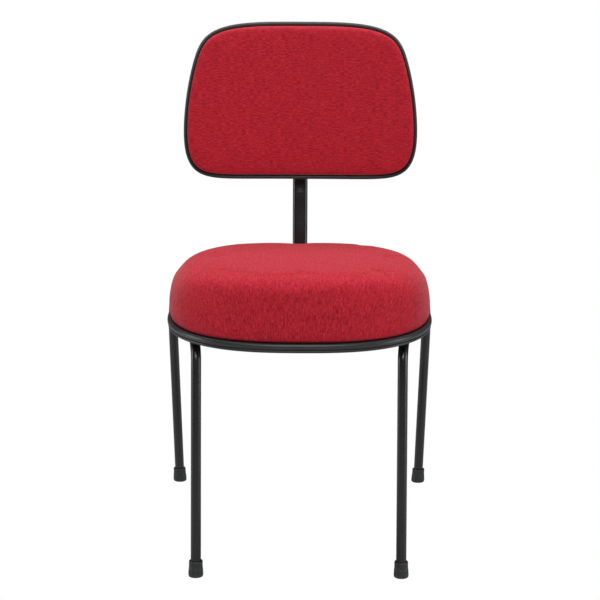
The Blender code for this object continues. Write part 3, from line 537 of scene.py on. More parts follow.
def plated(name, colour, rough, metal=1.0):
    """Plated steel: cloudy passivation, fine scratches and a little staining."""
    f = Finish(name, colour, rough, metal=metal)
    clouds = f.grain(3.5, detail=4.0, rough=0.6)
    scratch = f.grain((0.25, 4.0, 0.6), detail=3.0, rough=0.7)
    warm = (colour[0] * 1.02, colour[1] * 0.97, colour[2] * 0.86)
    f.colour(f.blend(clouds, *shades(colour, 0.82), warm))
    f.roughness(f.maths("MULTIPLY_ADD", scratch, 0.16, f.spread(clouds, rough - 0.1, rough + 0.04)))
    f.bump(scratch, 0.02, 0.5)
    return f.mat


def nylon():
    f = Finish("brake_pad_finish", (0.58, 0.56, 0.50), 0.42)
    cloud = f.grain(2.0, detail=3.0)
    f.colour(f.blend(cloud, (0.50, 0.48, 0.42), (0.66, 0.64, 0.58)))
    f.roughness(f.spread(cloud, 0.36, 0.52))
    f.bump(f.grain(0.4), 0.03, 0.5)
    return f.mat


COAT = powder_coat()
RUBBER = rubber()
TRIM = trim()
SHELL = grained_plastic("black_shell_finish", (0.018, 0.018, 0.019), 0.46, 1.2)
KNOB = grained_plastic("knob_plastic_finish", (0.015, 0.015, 0.016), 0.40, 0.7)
PLY = plywood()
ZINC = plated("zinc_finish", (0.60, 0.61, 0.63), 0.34)
BLACKED = plated("blackened_screw_finish", (0.045, 0.045, 0.047), 0.36, metal=0.75)
NYLON = nylon()
SEAT_CLOTH = melange("seat_melange_finish", along_u=False, run=5.0, blotch=(13.0, 3.2, 0.42))
BACK_CLOTH = melange("back_melange_finish", along_u=True, run=6.5, blotch=(15.0, 3.4, 0.20))


# ---- welds ----------------------------------------------------------------------
def bead(points, radius, closed, seed):
    """A weld bead along a line: round, rippled, and a little uneven."""
    points = np.asarray(points, float)
    ahead = np.roll(points, -1, 0) if closed else np.vstack([points[1:], 2 * points[-1] - points[-2]])
    behind = np.roll(points, 1, 0) if closed else np.vstack([2 * points[0] - points[1], points[:-1]])
    travel = np.concatenate([[0.0], np.cumsum(np.linalg.norm(np.diff(points, axis=0), axis=1))])
    ripple = 1.0 + 0.13 * np.abs(np.sin(travel * math.pi / 2.1))
    ripple *= [1.0 + 0.10 * noise.noise(Vector((t * 0.35, seed, 0.0))) for t in travel]
    if not closed:
        ends = np.minimum(travel, travel[-1] - travel) / radius
        ripple *= np.sqrt(np.clip(ends + 0.08, 0.0, 1.0))
    path = list(zip(points, (unit(a - b) for a, b in zip(ahead, behind))))
    if closed:
        return closed_tube(path, radius * ripple)
    return lofted(tube(path, radius * ripple, 12))


def closed_tube(path, radii, count=12):
    """A tube round a closed line; its section keeps one side towards the line's middle."""
    middle = np.mean([p for p, _ in path], axis=0)
    loops = []
    for (point, along), r in zip(path, radii):
        u = point - middle
        u = unit(u - along * (u @ along))
        loops.append(ring(point, u, np.cross(along, u), r, count))
    return lofted(loops, wrap=True)


def line(a, b, step=0.7):
    count = max(int(np.linalg.norm(b - a) / step), 2)
    return a + (b - a) * (np.arange(count + 1) / count)[:, None]


# ---- tube frame -----------------------------------------------------------------
def rail_point(y):
    k = (y - FRONT_CORNER[1]) / (REAR_CORNER[1] - FRONT_CORNER[1])
    return FRONT_CORNER + (REAR_CORNER - FRONT_CORNER) * k


def at_height(low, high, z):
    return low + (high - low) * ((z - low[2]) / (high[2] - low[2]))


def side_frames():
    """Front leg, side rail and rear leg: one bent tube on each side."""
    for name, side in SIDES:
        a, b, c, d = (mirrored(p, side) for p in (at_height(FRONT_FLOOR, FRONT_CORNER, LEG_END_Z),
                                                  FRONT_CORNER, REAR_CORNER,
                                                  at_height(REAR_FLOOR, REAR_CORNER, LEG_END_Z)))
        front = fillet(a, b, c, FRONT_BEND_R, 20)
        rear = fillet(b, c, d, REAR_BEND_R, 28)
        path = straight(a, front[0][0], 12) + front + straight(front[-1][0], rear[0][0], 8)[1:] + rear
        path += straight(rear[-1][0], d, 12)[1:] + [(d, unit(d - c))]
        steel(f"side_frame_{name}", lofted(tube(path, TUBE_R)),
              replaces=(f"front_leg_{name}", f"side_rail_{name}", f"rear_leg_{name}"))


def cross_tubes():
    """Two tubes let into the side rails, with a weld round each end."""
    slant = unit(REAR_CORNER - FRONT_CORNER)
    for name, y in CROSS_YS:
        middle = rail_point(y)
        reach = middle[0] - 4.0
        a, b = np.array((-reach, y, middle[2])), np.array((reach, y, middle[2]))
        path = straight(a, b, 12) + [(b, X)]
        steel(f"cross_tube_{name}", lofted(tube(path, TUBE_R)), replaces=(f"{name}_cross_tube",))
        for side_name, side in SIDES:
            dy, dz = TUBE_R * np.cos(turns(96)), TUBE_R * np.sin(turns(96))
            inward = np.sqrt((TUBE_R + 0.7) ** 2 - dz ** 2)
            x = middle[0] + dy * slant[0] / slant[1] - inward
            points = np.column_stack([side * x, y + dy, middle[2] + dz])
            steel(f"cross_weld_{name}_{side_name}", bead(points, 1.5, True, y * side))


def feet():
    """Rubber caps: flat on the floor, sloping with their leg, with a moulded step."""
    steps = [(8.8, 0.0), (10.3, 0.15), (11.1, 0.7), (11.5, 1.6), (11.68, 3.0), (11.65, 5.0),
             (11.3, 11.4), (11.24, 12.6), (11.05, 13.1), (10.9, 13.6), (10.66, 19.0), (10.8, 21.8),
             (10.75, 23.2), (10.5, 24.3), (10.1, 24.85), (9.6, 25.0), (9.2, 24.8), (8.9, 24.2),
             (8.75, 23.0), (8.7, 20.0), (8.1, 18.0), (8.1, 6.0)]   # (radius, height)
    legs = (("front", FRONT_FLOOR, FRONT_CORNER), ("rear", REAR_FLOOR, REAR_CORNER))
    for end, floor, corner in legs:
        for name, side in SIDES:
            loops = [ring(mirrored(at_height(floor, corner, z), side), X, Y, r) for r, z in steps]
            piece(f"foot_cap_{end}_{name}", lofted(loops), RUBBER, "frame",
                  (f"foot_{end}_{name}",), sharp=50.0)


# ---- seat -----------------------------------------------------------------------
def seat_drop(y):
    """How far the seat's underside curves down towards the front."""
    u = np.clip((SEAT_MID_Y - SEAT_DROP_START - y) / (SEAT_FRONT_L - SEAT_DROP_START), 0.0, 1.0)
    return SEAT_DROP * u * u


def seat_base(y):
    """Height of the seat's underside."""
    return SEAT_BASE_Z - SEAT_SLOPE * (y - SEAT_MID_Y) - seat_drop(y)


def seat_outline(inset, count):
    """The seat seen from above, starting at the middle of the front."""
    t = turns(2400)
    c, s = np.cos(t), np.sin(t)
    n = np.where(c > 0, SEAT_N_FRONT, SEAT_N_REAR)
    reach = np.where(c > 0, SEAT_FRONT_L, SEAT_REAR_L) - inset
    x = (SEAT_HALF_W - inset) * np.sign(s) * np.abs(s) ** (2.0 / n)
    y = SEAT_MID_Y - np.sign(c) * reach * np.abs(c) ** (2.0 / n)
    return resampled(np.column_stack([x, y]), count)


def raised(plan, height):
    """Plan points at a height above the seat's underside."""
    return np.column_stack([plan, seat_base(plan[:, 1]) + height])


SEAT_MIDDLE = np.array((0.0, SEAT_MID_Y))


def crown_profile(steps, top, exponents):
    """Rows down the cushion's side, evenly spaced from the edge of its middle patch to its hem.

    A row is (scale, height, tuck, slack): slack is how much farther out the flat cloth lies than
    the plan.  The scales and slacks of the whole profile are returned too.
    """
    s = np.linspace(math.pi / 2.0, 0.0, 3000)
    scale = np.cos(s) ** (2.0 / exponents[0])
    height = CUSHION_H * np.sin(s) ** (2.0 / exponents[1]) + CUSHION_DOME * (1.0 - scale * scale)
    tuck = CUSHION_TUCK * np.clip(1.0 - height / 12.0, 0.0, 1.0) ** 2
    run = (SEAT_HALF_W - CUSHION_INSET) * scale - tuck
    travel = np.concatenate([[0.0], np.cumsum(np.hypot(np.diff(run), np.diff(height)))])
    start = np.interp(top, scale, travel)
    wanted = start + (travel[-1] - start) * np.arange(steps + 1) / steps
    columns = [np.interp(wanted, travel, c) for c in (scale, height, tuck, travel - run)]
    return np.column_stack(columns), (scale, travel - run)


def seat_gauge(plan):
    """0 at the seat's middle and 1 on the cushion's outline."""
    dx = np.abs(plan[:, 0]) / (SEAT_HALF_W - CUSHION_INSET)
    dy = plan[:, 1] - SEAT_MID_Y
    front = dy < 0
    n = np.where(front, SEAT_N_FRONT, SEAT_N_REAR)
    reach = np.where(front, SEAT_FRONT_L, SEAT_REAR_L) - CUSHION_INSET
    return (dx ** n + (np.abs(dy) / reach) ** n) ** (1.0 / n)


def crown_height(k, exponents):
    """Height of the cushion above its hem, k of the way from its middle to its outline."""
    side_e, top_e = exponents
    crown = CUSHION_H * np.clip(1.0 - k ** side_e, 0.0, 1.0) ** (1.0 / top_e)
    return crown + CUSHION_DOME * (1.0 - k * k)


def front_share(plan):
    """1 straight in front of the seat's middle, easing to 0 at its sides and behind."""
    ahead = (np.maximum(SEAT_MID_Y - plan[:, 1], 0.0) / SEAT_FRONT_L) ** SEAT_N_FRONT
    aside = (np.abs(plan[:, 0]) / SEAT_HALF_W) ** SEAT_N_FRONT
    return ahead / np.maximum(ahead + aside, 1e-9)


def eased(share, plain, front):
    """From the cushion's plain form to its form at the front."""
    return (1.0 - share) * plain + share * front


def levelled(plan, base, rise):
    """Cushion points; the top stays level where the base drops at the front."""
    return raised(plan, base + rise * (1.0 + seat_drop(plan[:, 1]) / (CUSHION_H + CUSHION_DOME)))


def flat_cloth(plan, middle, slack):
    """Where a cover's points lie on its flat cloth: their plan, moved out by their slack."""
    d = plan - middle
    d = np.sign(d) * np.abs(d / np.abs(d).max(0)) ** 1.7
    outward = d / np.maximum(np.linalg.norm(d, axis=1), 1e-6)[:, None]
    return (plan + outward * slack[:, None]) * MM


def seat_cushion():
    """The padded seat: a crowned cloth form whose hem goes down behind the edge bead."""
    disc = Disc(36)
    base, under = BAND_H + 0.4, BOARD_TOP + 0.4
    patch, hem_scale, under_scale = 0.80, 0.945, 0.93
    rows, profile = crown_profile(24, patch, CUSHION_SIDE_ES)
    front_rows, front_profile = crown_profile(24, patch, CUSHION_FRONT_ES)
    outline = seat_outline(CUSHION_INSET, disc.size)

    def scaled(scale):
        return SEAT_MIDDLE + (outline - SEAT_MIDDLE) * scale

    crown = disc.spread(scaled(patch), SEAT_MIDDLE)
    k = seat_gauge(crown)
    share = front_share(crown)
    height = eased(share, crown_height(k, CUSHION_SIDE_ES), crown_height(k, CUSHION_FRONT_ES))
    shape = Shape()
    rim = add_disc(shape, disc, levelled(crown, base, height))
    slacks = [eased(share, np.interp(k, *profile), np.interp(k, *front_profile))]
    share = front_share(outline)
    for plain, front in zip(rows[1:], front_rows[1:]):
        scale, height, tuck, slack = eased(share, plain[:, None], front[:, None])
        plan = scaled((scale - tuck / SEAT_HALF_W)[:, None])
        rim = shape.grow(rim, levelled(plan, base, height))
        slacks.append(slack)
    hem = len(crown) + (len(rows) - 3) * disc.size
    rim = shape.grow(rim, raised(scaled(hem_scale), under))
    floor = disc.spread(scaled(under_scale), SEAT_MIDDLE)
    shape.band(rim, add_disc(shape, disc, raised(floor, under)))
    points = shape.points()
    slacks.append(np.full(len(points) - sum(map(len, slacks)), rows[-1][3] + 2.0))
    cloth = flat_cloth(points[:, :2], SEAT_MIDDLE, np.concatenate(slacks))
    obj = piece("seat_cushion", shape, SEAT_CLOTH, "frame", ("seat_cover", "seat_foam"),
                sharp=180.0, uv=cloth)
    stuff(obj, range(hem, len(points)), spare=0.9, cap=1.7)
    return obj


def stuff(obj, pinned, spare, cap):
    """Tensions a cover by cloth simulation under pressure.

    It starts spare mm outside its size, and no point ends more than cap mm from its start.
    """
    mesh = obj.data
    rest = np.empty(len(mesh.vertices) * 3)
    mesh.vertices.foreach_get("co", rest)
    rest = rest.reshape(-1, 3)
    normals = np.array([v.normal for v in mesh.vertices])
    held = np.zeros(len(rest))
    held[list(pinned)] = 1.0
    for _ in range(6):
        held = spread_values(mesh, held)
    free = np.clip(1.0 - held * 1.6, 0.0, 1.0)[:, None]
    start = rest + normals * (spare * MM) * free
    mesh.vertices.foreach_set("co", start.ravel())
    moved = pressed(obj, pinned) - start
    length = np.maximum(np.linalg.norm(moved, axis=1), 1e-9)[:, None]
    limit = cap * MM
    moved *= limit * np.tanh(length / limit) / length
    mesh.vertices.foreach_set("co", (start + moved).ravel())
    smooth = obj.modifiers.new("surface", "SUBSURF")
    smooth.levels = 1
    smooth.render_levels = 1
    mesh.update()


def spread_values(mesh, values):
    """Averages a value over each point's neighbours, never below its own."""
    edges = np.array([e.vertices for e in mesh.edges])
    total = np.zeros(len(values))
    count = np.zeros(len(values))
    for a, b in (edges.T, edges.T[::-1]):
        np.add.at(total, a, values[b])
        np.add.at(count, a, 1.0)
    return np.maximum(values, total / np.maximum(count, 1.0))


def pressed(obj, pinned):
    """Where a cover's points lie after a cloth simulation under pressure."""
    group = obj.vertex_groups.new(name="hem")
    group.add([int(i) for i in pinned], 1.0, "REPLACE")
    cloth = obj.modifiers.new("cloth", "CLOTH")
    weave = dict(quality=6, mass=0.3, tension_stiffness=60.0, compression_stiffness=60.0,
                 shear_stiffness=20.0, bending_stiffness=4.0, use_pressure=True,
                 uniform_pressure_force=4.0, vertex_group_mass="hem")
    for key, value in weave.items():
        setattr(cloth.settings, key, value)
    cloth.settings.effector_weights.gravity = 0.0
    cloth.collision_settings.use_collision = False
    cloth.point_cache.frame_start = 1
    cloth.point_cache.frame_end = SIM_FRAMES
    for number in range(1, SIM_FRAMES + 1):
        scene.frame_set(number)
    graph = bpy.context.evaluated_depsgraph_get()
    done = obj.evaluated_get(graph).data
    out = np.empty(len(done.vertices) * 3)
    done.vertices.foreach_get("co", out)
    obj.modifiers.remove(cloth)
    obj.vertex_groups.remove(group)
    scene.frame_set(1)
    return out.reshape(-1, 3)


def nosing(low, high, exponent, steps):
    """(inset, height) points round the outer face of an edge profile; 2 would be an ellipse."""
    mid, half = (low + high) / 2.0, (high - low) / 2.0
    out = []
    for i in range(steps + 1):
        a = -math.pi / 2.0 + math.pi * i / steps
        bulge = abs(math.cos(a)) ** (2.0 / exponent)
        rise = math.copysign(abs(math.sin(a)) ** (2.0 / exponent), a)
        out.append((EDGE_BULGE - EDGE_BULGE * bulge, mid + half * rise))
    return out


def seat_edge_bead():
    """The rounded PVC profile round the seat."""
    low = PAN_LIP + CLEAR
    # The flat web from inset 6.4 to 13 under the cushion's hem is painted shade: a black sheet that
    # makes the gap between cushion and bead read dark where the seat has only shadow.
    section = [(13.0, 12.8), (6.9, 12.8), (6.4, 12.3), (6.4, low), (4.6, low)]
    section += nosing(low, BAND_H, 2.3, 14)
    section += [(5.0, BAND_H - 0.15), (6.4, BAND_H - 0.6), (13.0, 13.25)]
    loops = [raised(seat_outline(i, EDGE_POINTS), h) for i, h in section]
    piece("seat_edge_bead", lofted(loops, wrap=True), TRIM, "frame",
          ("seat_edge_profile",))


def seat_pan():
    """The moulded pan under the seat, with its lip below the edge profile."""
    disc = Disc(30)
    count = disc.size
    edge = [(2.6, 0.05), (1.9, 0.35), (1.4, 0.9), (1.2, 1.6), (1.2, 3.2), (1.45, 3.85), (2.0, 4.15),
            (3.4, PAN_LIP), (4.3, 4.0), (4.6, 3.4), (4.7, PAN_T + 0.1)]
    loops = [raised(seat_outline(i, count), h) for i, h in edge]
    below = disc.spread(seat_outline(3.6, count), SEAT_MIDDLE)
    above = disc.spread(seat_outline(5.2, count), SEAT_MIDDLE)
    shape = slab(disc, raised(below, 0.0), loops, raised(above, PAN_T))
    piece("seat_pan", shape, SHELL, "frame", ("seat_under_pan",))


# ---- fasteners ------------------------------------------------------------------
def hexagon(flat):
    """The radius of a hexagon at each point round it."""
    off = (turns(ROUND) + math.pi / 6.0) % (math.pi / 3.0) - math.pi / 6.0
    return flat / np.cos(off)


def hex_head(origin, axis, flat, height):
    """Loops of a hexagon head with a chamfered crown, from its crown to its base."""
    u, v = across(axis)
    flats = hexagon(flat)
    loops = [ring(origin - axis * height, u, v, flat * 0.90)]
    for depth in (0.06, 0.25, 0.5, 0.8, 1.3):
        r = np.minimum(flats, flat * 0.90 + depth * 1.6)
        loops.append(ring(origin - axis * (height - depth), u, v, r))
    loops.append(ring(origin - axis * 0.25, u, v, flats))
    loops.append(ring(origin, u, v, np.minimum(flats, flat * 1.04)))
    return loops


def thread(origin, axis, radius, start, end, pitch=1.0):
    """Loops of a helical thread along an axis, with a chamfered tip."""
    u, v = across(axis)
    rows = max(int((end - start) / pitch * 6), 2)
    turn = turns(ROUND) / (2.0 * math.pi)
    loops = []
    for i in range(rows + 1):
        s = start + (end - start) * i / rows
        cut = np.abs(((s / pitch + turn) % 1.0) * 2.0 - 1.0) * pitch * 0.30
        ease = min(1.0, (s - start) / pitch, (end - s) / pitch)
        r = radius - cut * ease - max(0.0, 0.5 - (end - s))
        loops.append(ring(origin + axis * s, u, v, r))
    return loops


def hex_bolt(origin, axis, flat, head, radius, length, plain):
    """A bolt: head, plain shank as far as plain, then thread."""
    u, v = across(axis)
    shank = [ring(origin + axis * s, u, v, radius) for s in (0.0, plain)]
    head = hex_head(origin, axis, flat, head)
    return lofted(head + shank + thread(origin, axis, radius, plain, length))


def hex_nut(origin, axis, flat, bore, height):
    u, v = across(axis)
    flats = hexagon(flat)
    outside = []
    for depth, s in ((0.0, 0.0), (0.35, 0.22), (0.8, 0.55), (9.0, 1.2)):
        outside.append((np.minimum(flats, flat * 0.96 + depth * 0.9), s))
    loops = [ring(origin + axis * s, u, v, r) for r, s in outside]
    loops += [ring(origin + axis * (height - s), u, v, r) for r, s in outside[::-1]]
    for r, s in ((bore + 0.5, height), (bore, height - 0.5), (bore, 0.5), (bore + 0.5, 0.0)):
        loops.append(ring(origin + axis * s, u, v, r))
    return lofted(loops, wrap=True)


def socket_screw(origin, axis, head_r, head, radius, length):
    """A button-head screw with a hexagon socket, head first along the axis."""
    u, v = across(axis)
    key = head_r * 0.42
    loops = [ring(origin - axis * (head * 0.38), u, v, hexagon(key)),
             ring(origin - axis * (head * 0.93), u, v, hexagon(key)),
             ring(origin - axis * head, u, v, np.maximum(hexagon(key) + 0.12, head_r * 0.52))]
    for i in range(1, 8):
        a = math.pi / 2.0 * i / 8
        loops.append(ring(origin - axis * (0.45 + (head - 0.45) * math.cos(a)), u, v,
                          head_r * (0.52 + 0.48 * math.sin(a))))
    loops += [ring(origin - axis * s, u, v, r) for r, s in ((head_r, 0.4), (head_r, 0.1),
                                                                (head_r - 0.12, 0.0), (radius, 0.0))]
    return lofted(loops + thread(origin, axis, radius, 0.6, length))


def holed_plate(outline, centre, u, v, normal, thick, hole, edge=0.4):
    """A flat plate round a hole, from outline radii about the hole's centre."""
    count = len(outline)
    steps = [(hole, 0.0), (outline - edge, 0.0), (outline, edge), (outline, thick - edge),
             (outline - edge, thick), (hole, thick)]
    return lofted([ring(centre + normal * s, u, v, r, count) for r, s in steps], wrap=True)


def box_radii(left, right, low, high, corner, count=96):
    """Radii of a round-cornered rectangle seen from a point inside it, by halving."""
    c, s = np.cos(turns(count)), np.sin(turns(count))
    near, far = np.zeros(count), np.full(count, 400.0)
    for _ in range(40):
        r = (near + far) / 2.0
        dx = np.maximum(np.maximum(r * c - (right - corner), left + corner - r * c), 0.0)
        dy = np.maximum(np.maximum(r * s - (high - corner), low + corner - r * s), 0.0)
        inside = np.hypot(dx, dy) < corner
        near, far = np.where(inside, r, near), np.where(inside, far, r)
    return near


def seat_fixings():
    """Brackets welded on the rails, and the screws up into the seat board."""
    low, top, thick = -0.45, BOARD_TOP, 3.0
    for end, y in BRACKET_YS:
        rail = rail_point(y)
        for name, side in SIDES:
            x = side * (rail[0] - SEAT_SCREW_IN)
            z = float(seat_base(y))
            inboard, along = X * -side, unit(np.array((0.0, 1.0, -SEAT_SLOPE)))
            normal = unit(np.cross(inboard, along)) * side * -1.0
            normal = normal if normal[2] > 0 else -normal
            outline = box_radii(-SEAT_SCREW_IN - 4.0, 14.0, -13.0, 13.0, 3.0)
            centre = np.array((x, y, z + low)) - normal * thick
            bracket = holed_plate(outline, centre, inboard, along, normal, thick, 3.2)
            steel(f"bracket_{end}_{name}", bracket, replaces=(f"seat_bracket_{end}_{name}",))
            for way, shift in (("a", -11.0), ("b", 11.0)):
                points = line(rail_weld(y, side, shift, -5.0), rail_weld(y, side, shift, 7.0))
                steel(f"bracket_weld_{end}_{name}_{way}", bead(points, 1.4, False, shift + y))
            under = np.array((x, y, z + low - thick - CLEAR))
            screw = socket_screw(under, Z, 5.2, 3.0, 2.7, top - low + thick - 2.0)
            fastener(f"seat_bolt_{end}_{name}", screw, "frame", f"seat_screw_{end}_{name}")


def rail_weld(y, side, shift, across_rail):
    """A point of the weld at a bracket's edge, where its underside meets the rail."""
    rail = mirrored(rail_point(y + shift * 1.18), side)
    rise = math.sqrt(TUBE_R ** 2 - min(abs(across_rail), TUBE_R - 0.5) ** 2)
    return rail + X * (-side * across_rail) + Z * rise


# ---- post -----------------------------------------------------------------------
def post_line(z):
    return np.array((0.0, POST_Y400 + (z - 400.0) * math.tan(POST_LEAN), z))


def foot_direction():
    front, rear = rail_point(CROSS_YS[0][1]), rail_point(CROSS_YS[1][1])
    return unit(np.array((0.0, rear[1] - front[1], rear[2] - front[2])))


def post_run_point(y):
    """A point on the post's lower run, under the saddle plate."""
    drop = CLEAR + SADDLE_T + CLEAR + POST_T / 2.0
    return np.array((0.0, y, rail_point(y)[2] - TUBE_R - drop))


def post_corner():
    """Where the lower run's line meets the leaning upper part."""
    along, start, low = foot_direction(), post_run_point(POST_FRONT_Y), post_line(0.0)
    s, _ = np.linalg.solve(np.column_stack([along[1:], -POST_UP[1:]]), (low - start)[1:])
    return start + along * s


def post():
    """The flat-oval post, its end plugs and its stop screw."""
    start, top, corner = post_run_point(POST_FRONT_Y), post_line(POST_TOP_Z), post_corner()
    bend = fillet(start, corner, top, POST_BEND_R, 24)
    path = straight(start, bend[0][0], 8) + bend
    path += straight(bend[-1][0], top, 12)[1:] + [(top, POST_UP)]
    loops = [racetrack(p, X, np.cross(d, X), POST_W, POST_T) for p, d in path]
    steel("post_tube", lofted(loops), replaces=("back_post",))
    for name, point, along in (("top", top, POST_UP), ("front", start, -foot_direction())):
        v = np.cross(along, X)
        rim = [(CLEAR, 0.6), (CLEAR + 0.15, 0.15), (CLEAR + 0.5, 0.0), (1.5, 0.0), (2.1, 0.35),
               (2.45, 1.0), (2.6, 2.2)]
        loops = [racetrack(point - along * 10.0, X, v, POST_W - 5.5, POST_T - 5.5)]
        loops += [racetrack(point + along * s, X, v, POST_W - 2 * r, POST_T - 2 * r) for s, r in rim]
        loops.append(racetrack(point + along * 2.65, X, v, POST_W - 9.0, POST_T - 9.0))
        piece(f"post_cap_{name}", lofted(loops), KNOB, "frame",
              (f"post_{name}_plug",))
    head = post_line(STOP_SCREW_Z) + POST_FWD * (POST_T / 2.0 + CLEAR)
    piece("stop_screw", socket_screw(head, -POST_FWD, 4.8, 2.4, 2.2, 8.5), BLACKED, "frame",
          ("post_stop_screw",))


def saddle():
    """The plate welded under the cross tubes, and the bolts that hold the post to it."""
    along = foot_direction()
    up = np.cross(X, along)
    (_, front_y), (_, rear_y) = CROSS_YS
    middle = (front_y + rear_y) / 2.0
    half = (rear_y - front_y) / 2.0 + 14.0
    low = np.array((0.0, middle, rail_point(middle)[2] - TUBE_R - CLEAR)) - up * SADDLE_T
    steel("saddle_plate", plate(low, along, up, 30.0, half, SADDLE_T), replaces=("post_saddle",))
    for name, y in CROSS_YS:
        for way, sign in (("fore", -1.0), ("aft", 1.0)):
            middle = np.array((0.0, y, rail_point(y)[2])) + along * (sign * 4.6) - up * 7.2
            points = line(middle - X * 26.0, middle + X * 26.0)
            steel(f"saddle_weld_{name}_{way}", bead(points, 1.5, False, y + sign))
    for name, y in POST_BOLT_YS:
        centre = post_run_point(y)
        head = centre - up * (POST_T / 2.0 + CLEAR)
        length = POST_T + SADDLE_T + 3 * CLEAR + 7.0
        fastener(f"saddle_bolt_{name}", hex_bolt(head, up, BOLT_FLAT, BOLT_HEAD, BOLT_R, length, 11.0),
                 "frame", f"post_bolt_{name}")
        seat = centre + up * (POST_T / 2.0 + CLEAR + SADDLE_T + CLEAR)
        nut = hex_nut(seat, up, BOLT_FLAT, 3.0, 5.0)
        fastener(f"saddle_nut_{name}", nut, "frame", f"post_nut_{name}")


def plate(centre, along, normal, half_x, half_y, thick, corner=6.0, steps=8):
    """A flat plate with round corners and broken edges, on the centre of its lower face."""
    outline = []
    for sx, sy, turn in ((1, 1, 0), (-1, 1, 1), (-1, -1, 2), (1, -1, 3)):
        for i in range(steps + 1):
            a = math.pi / 2.0 * (turn + i / steps)
            outline.append((sx * (half_x - corner) + corner * math.cos(a),
                            sy * (half_y - corner) + corner * math.sin(a)))
    loops = []
    for inset, s in ((0.5, 0.0), (0.15, 0.15), (0.0, 0.5), (0.0, thick - 0.5), (0.15, thick - 0.15),
                     (0.5, thick)):
        plan = np.array(outline) * (1.0 - inset / half_x)
        loops.append(centre + plan[:, :1] * X + plan[:, 1:] * along + normal * s)
    return lofted(loops)


# ---- carriage -------------------------------------------------------------------
def local(x, fwd, up):
    """Points given from the post: sideways, forwards, and up along it."""
    x, fwd, up = np.broadcast_arrays(np.asarray(x, float), fwd, up)
    aside = post_line(CENTRE_Z) + x[..., None] * X
    return aside + fwd[..., None] * POST_FWD + up[..., None] * POST_UP


def along_post(z):
    return (z - CENTRE_Z) / math.cos(POST_LEAN)


def carriage():
    """The height sleeve with its lug and threaded boss, the pivot bolt, and the clamp knob."""
    low, high = (along_post(z) for z in SLEEVE_ZS)
    pivot_up, knob_up = along_post(PIVOT_Z), along_post(KNOB_Z)
    bore_w, bore_t = POST_W + 0.7, POST_T + 0.7
    out_w, out_t = bore_w + 2 * SLEEVE_WALL, bore_t + 2 * SLEEVE_WALL
    outer = ((-1.2, low), (-0.3, low + 0.2), (0.0, low + 0.7),
             (0.0, high - 0.7), (-0.3, high - 0.2), (-1.2, high))
    inner = ((0.8, high), (0.0, high - 0.5), (0.0, low + 0.5), (0.8, low))
    loops = []
    for w, t, steps in ((out_w, out_t, outer), (bore_w, bore_t, inner)):
        loops += [racetrack(local(0.0, 0.0, up), X, POST_FWD, w + grow, t + grow) for grow, up in steps]
    steel("sleeve_tube", lofted(loops, wrap=True), "carriage", ("post_sleeve",))
    pivot = local(0.0, PIVOT_T, pivot_up)
    wall = out_t / 2.0
    tongue = nose_radii(wall - 1.2 - PIVOT_T, 8.5)
    lug = holed_plate(tongue, pivot - X * LUG_HALF_W, POST_FWD, POST_UP, X, 2 * LUG_HALF_W, 3.2, 0.6)
    steel("sleeve_lug", lug, "carriage")
    for name, ups in (("upper", 8.9), ("lower", -8.9)):
        a, b = (local(x, wall + 0.3, pivot_up + ups) for x in (-LUG_HALF_W, LUG_HALF_W))
        steel(f"lug_weld_{name}", bead(line(a, b), 1.5, False, ups), "carriage")
    rear = -POST_FWD
    centre = local(0.0, 0.0, knob_up)
    boss = [(BOSS_R, -1.2), (BOSS_R, BOSS_L - 0.8), (BOSS_R - 0.25, BOSS_L - 0.25),
            (BOSS_R - 0.8, BOSS_L), (STUD_R + 0.9, BOSS_L), (STUD_R + 0.35, BOSS_L - 0.6),
            (STUD_R + 0.35, -1.2)]
    u, v = across(rear)
    loops = [ring(centre + rear * (wall + s), u, v, r) for r, s in boss]
    steel("sleeve_boss", lofted(loops, wrap=True), "carriage")
    aside, rise = (BOSS_R + 0.2) * np.cos(turns(96)), (BOSS_R + 0.2) * np.sin(turns(96))
    points = local(aside, flat_drop(aside, out_w, out_t) - wall - 0.4, knob_up + rise)
    steel("boss_weld", bead(points, 1.4, True, 5.0), "carriage")
    ears = LUG_HALF_W + CLEAR + EAR_T + CLEAR
    bolt = hex_bolt(pivot + X * ears, -X, BOLT_FLAT, BOLT_HEAD, BOLT_R, 2 * ears + 7.0, 20.0)
    fastener("tilt_bolt", bolt, "carriage", "pivot_bolt")
    nut = hex_nut(pivot - X * ears, -X, BOLT_FLAT, 3.05, 5.5)
    fastener("tilt_nut", nut, "carriage", "pivot_nut")
    knob(centre, rear, wall + BOSS_L + 2.0, POST_T / 2.0 + CLEAR + PAD_T + CLEAR)


def flat_drop(x, width, thick):
    """How far a flat-oval's surface falls back at x from its middle."""
    r = thick / 2.0
    over = np.clip(np.abs(x) - (width / 2.0 - r), 0.0, r)
    return r - np.sqrt(r * r - over * over)


def nose_radii(root, radius, count=72):
    """Radii of a tongue seen from its pivot: round in front, straight back to its root."""
    c, s = np.cos(turns(count)), np.sin(turns(count))
    to_side = radius / np.maximum(np.abs(s), 1e-6)
    to_root = root / np.minimum(c, -1e-6) if root < 0 else root / np.maximum(c, 1e-6)
    behind = c < 0 if root < 0 else c > 0
    return np.where(behind, np.minimum(to_side, to_root), radius)


